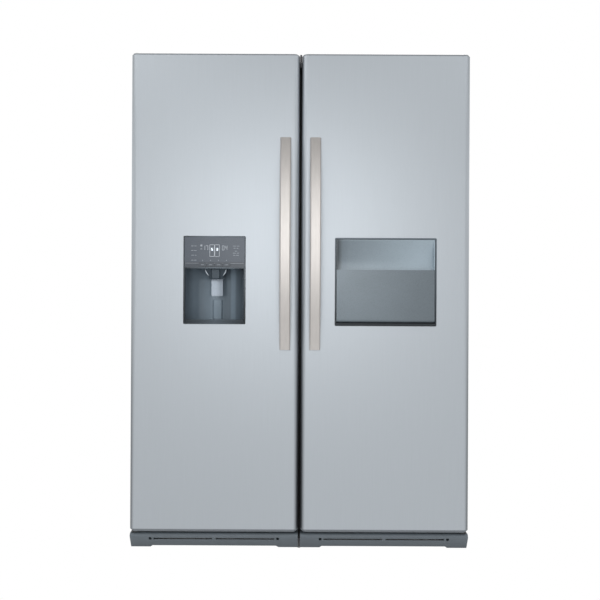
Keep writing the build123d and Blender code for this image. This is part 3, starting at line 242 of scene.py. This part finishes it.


# Across the dispenser: painted shade on the rim, darkest at its ends, and painted reflections in bands on
# the recess behind it
RIM_SHADE_BANDS = ((0.0, 0.0), (0.02, 0.02), (0.3, 0.15), (0.5, 0.28), (0.7, 0.18), (0.98, 0.03), (1.0, 0.0))
RECESS_REFLECTION_BANDS = ((0.05, 0.34), (0.13, 0.60), (0.24, 0.65), (0.35, 0.85), (0.47, 1.0), (0.56, 0.76),
                (0.62, 0.55), (0.71, 0.58), (0.74, 1.0), (0.79, 0.95), (0.83, 0.52), (0.95, 0.29))
RIM_DEPTH, RECESS_DEPTH = 4.0 * MM, 8.0 * MM


def recess_painted_light(tree):
    """The dispenser's housing: a rim darkened by painted shade round a recess whose bowed back carries
    painted reflections in upright bands.
    """
    low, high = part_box("dispenser_housing")
    inside = along(tree, "Y", low.y + RIM_DEPTH, low.y + RECESS_DEPTH)
    return between(tree, inside, banded(tree, "X", low.x, high.x, RIM_SHADE_BANDS),
                   banded(tree, "X", low.x, high.x, RECESS_REFLECTION_BANDS))


# Painted shade on the key strip below the groove
STRIP_HEIGHT, STRIP_PAINTED_SHADE = 17.6 * MM, 0.62


def fascia_painted_shade(tree):
    """The fascia: painted shade darkens it below the groove, where the keys are."""
    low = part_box("dispenser_fascia")[0]
    return step_at(tree, "Z", low.z + STRIP_HEIGHT, STRIP_PAINTED_SHADE)


# Across the home bar's flap, a painted reflection: its scoop, and the panel below that from left to right
SCOOP_REFLECTION_BANDS = ((0.0, 0.12), (0.025, 0.18), (0.07, 0.5), (0.14, 0.6), (0.5, 0.78), (0.8, 0.96),
               (1.0, 1.0))
SCOOP_HEIGHT = 107.0 * MM
PANEL_REFLECTION = (0.45, 0.36)


def flap_painted_reflection(tree):
    """The flap: painted reflection, a brighter grip scoop with painted shade at its left end, over a darker
    panel.
    """
    low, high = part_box("home_bar_flap")
    scoop = step_at(tree, "Z", high.z - SCOOP_HEIGHT)
    return between(tree, scoop, along(tree, "X", low.x, high.x, *PANEL_REFLECTION),
                   banded(tree, "X", low.x, high.x, SCOOP_REFLECTION_BANDS))


# Painted light on the home bar's frame, from its foot to its top
BAR_FRAME_PAINTED_LIGHT = (0.45, 2.4)


def bar_frame_painted_light(tree):
    """The home bar's frame: painted light, darker towards its foot and lighter towards its top."""
    low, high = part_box("home_bar_frame")
    return along(tree, "Z", low.z, high.z, *BAR_FRAME_PAINTED_LIGHT)


# Painted light on the kick plates, from their feet to their tops
KICK_PAINTED_LIGHT = (0.93, 1.3)


def kick_painted_light(tree):
    """The kick plates: painted light, a little darker towards the floor and lighter at the top, under the
    door's shadow.
    """
    low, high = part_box("freezer_kick_plate")
    return along(tree, "Z", low.z, high.z, *KICK_PAINTED_LIGHT)


# Painted shade on the hinge brackets under the doors
HINGE_REACH, BRACKET_PAINTED_SHADE = 0.3, 0.07


def hinge_painted_shade(tree):
    """The hinges: bare steel on the cabinets' tops, and brackets under the doors darkened by painted shade.
    """
    low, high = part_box("door_hinges")
    return along(tree, "Z", low.z + HINGE_REACH, high.z - HINGE_REACH, BRACKET_PAINTED_SHADE)


# The finish of each material slot

LOOKS = {}
UPRIGHT_GRAIN = (1.0, 1.0, 0.012)
LENS_GRAIN = (1.0, 0.05, 1.0)
BLUE_GLOSS = (0.80, 0.91, 1.0, 1.0)
PANEL_GLOSS = (0.92, 0.955, 1.0, 1.0)
CLEARNESS = 0.92


def look(slot, color, rough, **values):
    """Makes the finish of one of the record's material slots."""
    LOOKS[slot] = finish(slot, color, rough, **values)


def clear_look(slot, color, rough, ior):
    """A see-through finish, faintly tinted, with fine roughness variation."""
    look(slot, color, rough, vary=0.02, rough_vary=0.02, fine=300.0,
         sockets={"Transmission Weight": CLEARNESS, "IOR": ior})


# Doors and cabinets
look("door_steel", (0.506, 0.546, 0.584), 0.46, metallic=0.9, scale=420.0, stretch=UPRIGHT_GRAIN,
     vary=0.014, rough_vary=0.03, fine=1800.0, fine_stretch=UPRIGHT_GRAIN, bump=0.06, shade=door_painted_reflection)
look("cabinet_paint", (0.30, 0.32, 0.34), 0.45, scale=5.0, vary=0.015, fine=700.0, bump=0.15)
look("back_steel", (0.46, 0.47, 0.48), 0.42, metallic=0.6, scale=14.0, fine=500.0, bump=0.1)
look("zinc_steel", (0.46, 0.47, 0.48), 0.55, metallic=1.0, scale=40.0, vary=0.12, fine=400.0)
look("hinge_steel", (0.60, 0.61, 0.62), 0.26, metallic=1.0, scale=50.0, shade=hinge_painted_shade)
look("handle_metal", (0.534, 0.511, 0.492), 0.44, metallic=0.85, scale=160.0, stretch=UPRIGHT_GRAIN,
     vary=0.03, fine=1500.0, fine_stretch=UPRIGHT_GRAIN, bump=0.1, shade=handle_painted_light)
look("cap_plastic", (0.20, 0.22, 0.24), 0.42, scale=30.0, fine=1200.0, bump=0.2)
look("kick_plastic", (0.111, 0.131, 0.148), 0.55, scale=30.0, fine=1200.0, bump=0.25, shade=kick_painted_light)
look("strip_plastic", (0.02, 0.02, 0.024), 0.6, vary=0.15, bump=0.2)
look("seal_rubber", (0.30, 0.31, 0.32), 0.62, scale=80.0, vary=0.06, bump=0.2)
look("foot_rubber", (0.03, 0.03, 0.032), 0.6, scale=80.0, vary=0.15, bump=0.3)

# Inside
look("liner_plastic", (0.84, 0.86, 0.87), 0.34, scale=6.0, vary=0.02, fine=500.0, bump=0.06)
look("inner_plastic", (0.80, 0.82, 0.84), 0.4, scale=12.0, vary=0.03, fine=800.0, bump=0.12)
clear_look("clear_plastic", (0.90, 0.95, 0.97), 0.08, 1.45)
clear_look("shelf_glass", (0.86, 0.95, 0.92), 0.03, 1.5)
look("lamp_lens", (0.92, 0.92, 0.90), 0.25, vary=0.02, fine=250.0, fine_stretch=LENS_GRAIN, bump=0.4,
     depth=0.6 * MM)
look("foam", (0.80, 0.70, 0.42), 0.9, scale=90.0, vary=0.1, fine=400.0, bump=0.5, depth=1.0 * MM)
look("pot_paint", (0.02, 0.02, 0.022), 0.3, scale=40.0, vary=0.2, fine=300.0, bump=0.2)
look("coil_aluminium", (0.74, 0.75, 0.76), 0.35, metallic=1.0, fine=700.0)

# Dispenser and home bar
look("dispenser_plastic", (0.24, 0.30, 0.353), 0.16, scale=20.0, bump=0.02, shade=recess_painted_light,
     sockets={"Specular Tint": BLUE_GLOSS})
look("fascia_plastic", (0.056, 0.070, 0.090), 0.26, scale=20.0, bump=0.03, shade=fascia_painted_shade,
     sockets={"Specular Tint": PANEL_GLOSS})
look("key_plastic", (0.035, 0.044, 0.056), 0.28, fine=1500.0, bump=0.08,
     sockets={"Specular Tint": PANEL_GLOSS})
look("paddle_silver", (0.33, 0.38, 0.44), 0.32, metallic=0.3, fine=1200.0, bump=0.06)
look("chute_plastic", (0.042, 0.057, 0.072), 0.22, scale=30.0, bump=0.03,
     sockets={"Specular IOR Level": 0.3, "Specular Tint": BLUE_GLOSS})
look("bar_frame_plastic", (0.052, 0.063, 0.073), 0.3, scale=30.0, bump=0.05, shade=bar_frame_painted_light,
     sockets={"Specular IOR Level": 0.22})
look("flap_plastic", (0.372, 0.451, 0.509), 0.3, metallic=0.2, scale=9.0, bump=0.02, shade=flap_painted_reflection)

for row in frame["record"]["subparts"]:
    cad = frame["nodes"][row["node"]]
    surface = LOOKS[row["material_slot"]]
    if not cad.material_slots:
        cad.data.materials.append(surface)
    for held in cad.material_slots:
        held.material = surface


# Mesh tools for the pieces that the solids leave out

def rounded(x, z, width, height, radius, steps=3):
    """The outline of a bar with rounded corners, about its middle."""
    radius = min(radius, width / 2, height / 2)
    points = []
    for corner, (right, up) in enumerate(((1, 1), (-1, 1), (-1, -1), (1, -1))):
        for step in range(steps + 1):
            turn = math.radians(90.0 * (corner + step / steps))
            points.append((x + right * (width / 2 - radius) + radius * math.cos(turn),
                           z + up * (height / 2 - radius) + radius * math.sin(turn)))
    return points


def turned(outline, x, z, degrees):
    """An outline turned about a point."""
    c, s = math.cos(math.radians(degrees)), math.sin(math.radians(degrees))
    return [(x + (a - x) * c - (b - z) * s, z + (a - x) * s + (b - z) * c) for a, b in outline]


def circle(corners):
    """The cosine and sine of each corner of a regular ring."""
    turns = [2 * math.pi * i / corners for i in range(corners)]
    return [(math.cos(turn), math.sin(turn)) for turn in turns]


def closed(bm, loops):
    """Joins loops of equally many points into a closed skin, with a face at both ends."""
    bm.faces.new(loops[0][::-1])
    bm.faces.new(loops[-1])
    for lower, upper in zip(loops, loops[1:]):
        for i in range(len(lower)):
            j = (i + 1) % len(lower)
            bm.faces.new((lower[i], lower[j], upper[j], upper[i]))


def new_piece(name, bm, body, surface, smooth=False):
    """Links a finished mesh as a piece that rides on a body."""
    bmesh.ops.recalc_face_normals(bm, faces=bm.faces)
    mesh = bpy.data.meshes.new(name)
    bm.to_mesh(mesh)
    bm.free()
    mesh.materials.append(surface)
    for polygon in mesh.polygons:
        polygon.use_smooth = smooth
    piece = bpy.data.objects.new(name, mesh)
    bpy.context.scene.collection.objects.link(piece)
    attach(piece, body)


# The control panel's print

INK = 0.25 * MM
PRINT = finish("panel_print", (0.56, 0.60, 0.65), 0.4, scale=300.0, vary=0.12, fine=1500.0)
PRINT_DIM = finish("panel_print_dim", (0.30, 0.33, 0.365), 0.4, scale=300.0, vary=0.12, fine=1500.0)
DIGITS = finish("panel_digits", (0.85, 0.90, 0.95), 0.35, scale=300.0, vary=0.05, fine=1500.0,
                sockets={"Emission Color": (0.85, 0.93, 1.0, 1.0), "Emission Strength": 0.6})

housing_low, housing_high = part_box("dispenser_housing")
PANEL_X = (housing_low.x + housing_high.x) / 2
PANEL_TOP = housing_high.z
PANEL_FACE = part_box("dispenser_fascia")[0].y

# The layout, in millimetres: across from the panel's middle and down from the bezel's top
CORNER = 0.6
ICON_X, ICON_DROP, ICON_SIZE, ICON_LINE = 8.9, 52.3, (17.6, 43.0), 1.4
FLAKE_X, FLAKE_DROP, FLAKE_BAR, FLAKE_TURNS = -47.0, 34.0, (1.2, 9.5), (0, 60, 120)
MINUS_DROP, MINUS_BAR = 46.5, (7.0, 1.3)
READOUT_DROP, READOUT_SIZE, READOUT_LINE = 42.5, (7.5, 16.5), 1.3
READOUTS = ((-37.5, "1"), (-27.0, "7"), (30.5, "0"), (41.0, "4"))
LIT_DROP, LIT_SIZE, LIT_LINE = 47.7, (6.4, 9.6), 1.7
LIT_DIGITS = ((-ICON_X, "5"), (ICON_X, "3"))
SEGMENTS = {"0": "abcdef", "1": "bc", "3": "abcdg", "4": "bcfg", "5": "acdfg", "7": "abc"}

# Rows of bars: how far down each row is, and the lengths of its bars
BAR_HEIGHT, BAR_GAP = 1.9, 2.2
LEFT_START, RIGHT_MIDDLE = -83.0, 76.0
LEFT_ROWS = ((35.9, (9, 8)), (52.0, (7, 10)), (68.8, (11, 6)), (86.4, (8, 9)))
RIGHT_ROWS = ((35.9, (12, 9)), (43.4, (8, 7)), (53.8, (9,)), (60.9, (11, 8)), (68.5, (8, 10)))
DOT_PLACES, DOT_DROP, DOT_SIZE, DOT_RADIUS = (-42.8, -14.2, 14.2, 42.8), 87.0, 3.4, 1.6
# A painted highlight: a light bar along the groove's edge, how far down it is and its size
GROOVE_GLINT_DROP, GROOVE_GLINT_BAR = 97.0, (206.0, 1.3)
KEY_COUNT, KEY_MARK = 4, (11.0, 1.8)


def on_panel(x, drop, width, height, radius=CORNER):
    """A bar on the fascia, by the layout's millimetres."""
    return rounded(PANEL_X + x * MM, PANEL_TOP - drop * MM, width * MM, height * MM, radius * MM)


def spun(x, drop, width, height, degrees):
    """A bar on the fascia turned about its own middle."""
    bar = on_panel(x, drop, width, height)
    return turned(bar, PANEL_X + x * MM, PANEL_TOP - drop * MM, degrees)


def box_outline(x, drop, width, height, line):
    """Four bars round a rectangle on the fascia."""
    across, down = (width - line) / 2, (height - line) / 2
    return [on_panel(x - across, drop, line, height), on_panel(x + across, drop, line, height),
            on_panel(x, drop - down, width, line), on_panel(x, drop + down, width, line)]


def digit(x, drop, width, height, line, figure):
    """A seven segment digit on the fascia."""
    side, rise = (width - line) / 2, (height - line) / 4
    level, upright = (width, line), (line, height / 2)
    places = {"a": (0, -2 * rise, level), "b": (side, -rise, upright), "c": (side, rise, upright),
              "d": (0, 2 * rise, level), "e": (-side, rise, upright), "f": (-side, -rise, upright),
              "g": (0, 0, level)}
    bars = []
    for segment in SEGMENTS[figure]:
        across, down, size = places[segment]
        bars.append(on_panel(x + across, drop + down, *size))
    return bars


def bar_row(start, drop, lengths):
    """A row of bars on the fascia, from its left end."""
    bars = []
    for length in lengths:
        bars.append(on_panel(start + length / 2, drop, length, BAR_HEIGHT))
        start += length + BAR_GAP
    return bars


def printed(name, outlines, y, body, surface):
    """Flat marks with outlines in X and Z that stand off the face at y by the ink's thickness."""
    bm = bmesh.new()
    for outline in outlines:
        closed(bm, [[bm.verts.new((a, depth, b)) for a, b in outline] for depth in (y, y - INK)])
    new_piece(name, bm, body, surface)


icons = []
for x in (-ICON_X, ICON_X):
    icons += box_outline(x, ICON_DROP, *ICON_SIZE, ICON_LINE)
for turn in FLAKE_TURNS:
    icons.append(spun(FLAKE_X, FLAKE_DROP, *FLAKE_BAR, turn))
icons.append(on_panel(FLAKE_X, MINUS_DROP, *MINUS_BAR))
for x, figure in READOUTS:
    icons += digit(x, READOUT_DROP, *READOUT_SIZE, READOUT_LINE, figure)
printed("panel_icons", icons, PANEL_FACE, DOOR, PRINT)

digits = []
for x, figure in LIT_DIGITS:
    digits += digit(x, LIT_DROP, *LIT_SIZE, LIT_LINE, figure)
printed("panel_digits", digits, PANEL_FACE, DOOR, DIGITS)

labels = []
for drop, lengths in LEFT_ROWS:
    labels += bar_row(LEFT_START, drop, lengths)
for drop, lengths in RIGHT_ROWS:
    row_length = sum(lengths) + BAR_GAP * (len(lengths) - 1)
    labels += bar_row(RIGHT_MIDDLE - row_length / 2, drop, lengths)
for x in DOT_PLACES:
    labels.append(on_panel(x, DOT_DROP, DOT_SIZE, DOT_SIZE, DOT_RADIUS))
# The painted highlight along the groove's edge, drawn with the labels
labels.append(on_panel(0.0, GROOVE_GLINT_DROP, *GROOVE_GLINT_BAR))
printed("panel_labels_and_glint", labels, PANEL_FACE, DOOR, PRINT_DIM)

for number in range(1, KEY_COUNT + 1):
    key = "key_%d" % number
    key_low, key_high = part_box(key)
    mark = rounded((key_low.x + key_high.x) / 2, (key_low.z + key_high.z) / 2,
                   KEY_MARK[0] * MM, KEY_MARK[1] * MM, CORNER * MM)
    printed(key + "_mark", [mark], key_low.y, key, PRINT_DIM)


# Light rims on the hopper's front face: a painted highlight for the glint along its rounded edges

# The face: half its width at top and foot, its height, how far it leans back, and how far the spout
# stands before it
HOPPER_TOP, HOPPER_FOOT = 43.0 * MM, 23.0 * MM
HOPPER_HEIGHT, HOPPER_LEAN = 38.5 * MM, 6.0 * MM
SPOUT_PROUD = 4.0 * MM

# Each rim: where it starts and how far it runs down the face as shares, and how far it keeps inside
# the face's edge, with a bow towards the edge at its middle
RIM_START, RIM_RUN, RIM_STEPS = 0.1, 0.6, 10
RIM_INSET, RIM_BOW = 3.4 * MM, 2.2 * MM
RIM_RADIUS, RIM_CORNERS, RIM_TAPER = 2.2 * MM, 10, 0.45
HOPPER_GLINT_FINISH = finish("hopper_glint_rim", (0.62, 0.68, 0.74), 0.25, metallic=0.3, scale=120.0, fine=1500.0)


def rim_line(side):
    """The points that the rim follows on one side of the hopper."""
    chute_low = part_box("ice_chute")[0]
    points = []
    for step in range(RIM_STEPS + 1):
        down = RIM_START + RIM_RUN * step / RIM_STEPS
        inset = RIM_INSET - RIM_BOW * math.sin(math.pi * step / RIM_STEPS)
        across = HOPPER_TOP + (HOPPER_FOOT - HOPPER_TOP) * down - inset
        points.append(Vector((PANEL_X + side * across,
                              chute_low.y + SPOUT_PROUD + HOPPER_LEAN * down,
                              chute_low.z + HOPPER_HEIGHT * (1 - down))))
    return points


def tube(bm, points, radius):
    """A closed round bar through points that lie close to one upright plane, thinner at its ends."""
    loops = []
    last = len(points) - 1
    for index, point in enumerate(points):
        way = (points[min(index + 1, last)] - points[max(index - 1, 0)]).normalized()
        side = way.cross(Vector((0, 1, 0))).normalized()
        out = way.cross(side)
        size = radius * (RIM_TAPER + (1 - RIM_TAPER) * math.sin(math.pi * index / last))
        loops.append([bm.verts.new(point + size * (c * side + s * out)) for c, s in circle(RIM_CORNERS)])
    closed(bm, loops)


bm = bmesh.new()
for side in (-1, 1):
    tube(bm, rim_line(side), RIM_RADIUS)
new_piece("hopper_glint_rims", bm, DOOR, HOPPER_GLINT_FINISH, smooth=True)


# Screws on the back and on the joining plates, and lips on the joining strip

# A hex washer screw, in shares of its radius: rings of a radius and a height
WASHER, WASHER_CORNERS = ((1.0, 0.0), (1.0, 0.18), (0.86, 0.3)), 20
HEAD, HEAD_CORNERS = ((0.62, 0.3), (0.62, 0.72), (0.5, 0.84)), 6
SCREW_RADIUS = 5.0 * MM


def screws(name, points, axis):
    """Hex washer screws that sit on a face: a tapered washer and a chamfered hexagon each."""
    turn = Vector((0, 0, 1)).rotation_difference(Vector(axis)).to_matrix().to_4x4()
    bm = bmesh.new()
    for point in points:
        place = Matrix.Translation(Vector(point)) @ turn
        for rings, corners in ((WASHER, WASHER_CORNERS), (HEAD, HEAD_CORNERS)):
            closed(bm, [[bm.verts.new(place @ (SCREW_RADIUS * Vector((width * c, width * s, rise))))
                         for c, s in circle(corners)] for width, rise in rings])
    new_piece(name, bm, CABINETS, LOOKS["zinc_steel"])


# Screws along the back panels' sides, at their heads and feet and on the machine covers: across from
# each cabinet's middle, and up from the floor
BACK_X, BACK_ROWS = 284.0 * MM, [(280.0 + 365.0 * row) * MM for row in range(5)]
INNER_X, INNER_ROWS = 157.0 * MM, (280.0 * MM, 1755.0 * MM)
COVER_ROWS = (74.0 * MM, 240.0 * MM)
BACK_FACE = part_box("machine_covers")[1].y

shell_low, shell_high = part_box("fridge_cabinet_shell")
cabinet_x = (shell_low.x + shell_high.x) / 2
back_points = []
for middle in (-cabinet_x, cabinet_x):
    for places, rows in (((-BACK_X, BACK_X), BACK_ROWS), ((-INNER_X, INNER_X), INNER_ROWS),
                         ((-BACK_X, 0.0, BACK_X), COVER_ROWS)):
        back_points += [(middle + x, BACK_FACE, z) for x in places for z in rows]
screws("back_screws", back_points, (0, 1, 0))

# Soft lips on the joining strip's nose that nearly fill the gap between the doors. Their plan is full
# from one share of the depth to another, and tapers to the nose before and behind that.
NOSE_HALF, LIP_HALF = 2.0 * MM, 3.4 * MM
LIP_HEIGHT, LIP_DEPTH, LIP_FULL = 45.0 * MM, 5.0 * MM, (0.25, 0.6)

strip_low, strip_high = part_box("joining_strip")
bm = bmesh.new()
for side in (-1, 1):
    plan = [(NOSE_HALF, 0.0), (LIP_HALF, LIP_FULL[0]), (LIP_HALF, LIP_FULL[1]), (NOSE_HALF, 1.0)]
    closed(bm, [[bm.verts.new((side * half, strip_low.y + share * LIP_DEPTH, z)) for half, share in plan]
                for z in (strip_high.z - LIP_HEIGHT, strip_high.z)])
new_piece("strip_lips", bm, CABINETS, LOOKS["strip_plastic"])

PLATE_EDGE, PLATE_X = 21.0 * MM, 50.0 * MM

plate_low, plate_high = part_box("joining_plates")
plate_rows = (plate_low.y + PLATE_EDGE, plate_high.y - PLATE_EDGE)
screws("plate_screws", [(x, y, plate_high.z) for y in plate_rows for x in (-PLATE_X, PLATE_X)], (0, 0, 1))


# The stage: world, floor, lamps and camera

AMBIENT, AMBIENT_TINT = 0.62, (0.97, 0.985, 1.0, 1.0)
# The room greys between two heights of view, each the upward part of a direction
DOME_LOW, DOME_HIGH, DOME_SHADE = 0.46, 0.8, 0.4


def shows_background(tree):
    """1 for rays that show the background: straight from the camera, mirrored or through glass."""
    path = node(tree, "ShaderNodeLightPath").outputs
    direct = worked(tree, "MAXIMUM", path["Is Camera Ray"], path["Is Glossy Ray"])
    return worked(tree, "MAXIMUM", direct, path["Is Transmission Ray"])


def chosen(tree, factor, first, last, output):
    """Sends a mix of two shaders to an output."""
    mix = node(tree, "ShaderNodeMixShader")
    tree.links.new(factor, mix.inputs["Fac"])
    tree.links.new(first.outputs[0], mix.inputs[1])
    tree.links.new(last.outputs[0], mix.inputs[2])
    tree.links.new(mix.outputs[0], tree.nodes[output].inputs["Surface"])


def make_world():
    """Even pale light, seen as a white room that greys towards its ceiling."""
    world = bpy.data.worlds.new("studio")
    bpy.context.scene.world = world
    world.use_nodes = True
    tree = world.node_tree
    plain = tree.nodes["Background"]
    plain.inputs["Color"].default_value = AMBIENT_TINT
    plain.inputs["Strength"].default_value = AMBIENT
    room = node(tree, "ShaderNodeBackground")
    room.inputs["Strength"].default_value = 1.0
    dome = mapped(tree, part_of(tree, "Generated", "Z"), DOME_LOW, DOME_HIGH, 1.0, DOME_SHADE, "SMOOTHSTEP")
    tree.links.new(dome, room.inputs["Color"])
    chosen(tree, shows_background(tree), plain, room, "World Output")


FLOOR_REACH = 14.0
FLOOR_GREY, FLOOR_ROUGH = (0.9, 0.9, 0.9, 1.0), 0.8
FLOOR_FADE, SLIT_FADE = 10.0 * MM, 1.0 * MM
# How far back a line of sight that grazes the kick plates' feet runs for each metre of their height
SIGHT_RUN = 4.6


def clear_of(tree, x_range, y_range, fade):
    """0 on a patch of the floor and 1 outside it, with a soft edge."""
    edges = []
    for axis, (low, high) in (("X", x_range), ("Y", y_range)):
        off = worked(tree, "SUBTRACT", part_of(tree, "Object", axis), (low + high) / 2)
        half = (high - low) / 2
        edges.append(mapped(tree, worked(tree, "ABSOLUTE", off), half - fade, half))
    return worked(tree, "MAXIMUM", *edges)


def open_floor(tree):
    """1 on the floor round the object, 0 under the cabinets and between their kick plates."""
    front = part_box("freezer_cabinet_shell")[0].y
    under = clear_of(tree, (cad_box[0].x, cad_box[1].x), (front, cad_box[1].y), FLOOR_FADE)
    slit_low, slit_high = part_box("joining_strip")
    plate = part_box("freezer_kick_plate")[0]
    slit = clear_of(tree, (slit_low.x - SLIT_FADE, slit_high.x + SLIT_FADE),
                    (plate.y + SIGHT_RUN * plate.z, front + 2 * FLOOR_FADE), SLIT_FADE)
    return worked(tree, "MINIMUM", under, slit)


def make_floor():
    """A pale floor that shows white round the object and keeps the shade under it."""
    mesh = bpy.data.meshes.new("floor")
    corners = [(FLOOR_REACH * x, FLOOR_REACH * y, 0) for x, y in ((-1, -1), (1, -1), (1, 1), (-1, 1))]
    mesh.from_pydata(corners, [], [(0, 1, 2, 3)])
    floor = bpy.data.objects.new("floor", mesh)
    bpy.context.scene.collection.objects.link(floor)
    material = bpy.data.materials.new("floor")
    material.use_nodes = True
    tree = material.node_tree
    shader = tree.nodes["Principled BSDF"]
    shader.inputs["Base Color"].default_value = FLOOR_GREY
    shader.inputs["Roughness"].default_value = FLOOR_ROUGH
    shader.inputs["Specular IOR Level"].default_value = 0.0
    glow = node(tree, "ShaderNodeEmission")
    glow.inputs["Color"].default_value = (1.0, 1.0, 1.0, 1.0)
    share = worked(tree, "MULTIPLY", shows_background(tree), open_floor(tree))
    chosen(tree, share, shader, glow, "Material Output")
    mesh.materials.append(material)


def softbox(name, place, target, size, power):
    """A soft rectangular lamp aimed at a point."""
    lamp = bpy.data.lights.new(name, "AREA")
    lamp.shape = "RECTANGLE"
    lamp.size, lamp.size_y = size
    lamp.energy = power
    held = bpy.data.objects.new(name, lamp)
    held.location = place
    held.rotation_euler = (Vector(target) - Vector(place)).to_track_quat("-Z", "Y").to_euler()
    bpy.context.scene.collection.objects.link(held)


VIEW_ANGLE = 51.68
CAMERA_PLACE = (0.0, -2.493, 0.899)
CAMERA_ROLL = -0.28


def make_camera():
    """A level camera before the doors, rolled very slightly."""
    lens = bpy.data.cameras.new("camera")
    lens.angle = math.radians(VIEW_ANGLE)
    camera = bpy.data.objects.new("camera", lens)
    camera.location = CAMERA_PLACE
    camera.rotation_euler = (math.radians(90.0), math.radians(CAMERA_ROLL), 0.0)
    bpy.context.scene.collection.objects.link(camera)
    bpy.context.scene.camera = camera


make_world()
make_floor()
softbox("key", place=(-0.13, -3.0, 1.43), target=(-0.05, -0.3, 1.1), size=(1.5, 1.0), power=15.0)
for name, side, power in (("top_left", -1, 12.0), ("top_right", 1, 7.0)):
    softbox(name, place=(side * 1.5, -1.4, 3.0), target=(side * 0.2, -0.2, 1.0), size=(1.6, 1.2),
            power=power)
make_camera()
bpy.context.scene.view_settings.view_transform = "Standard"
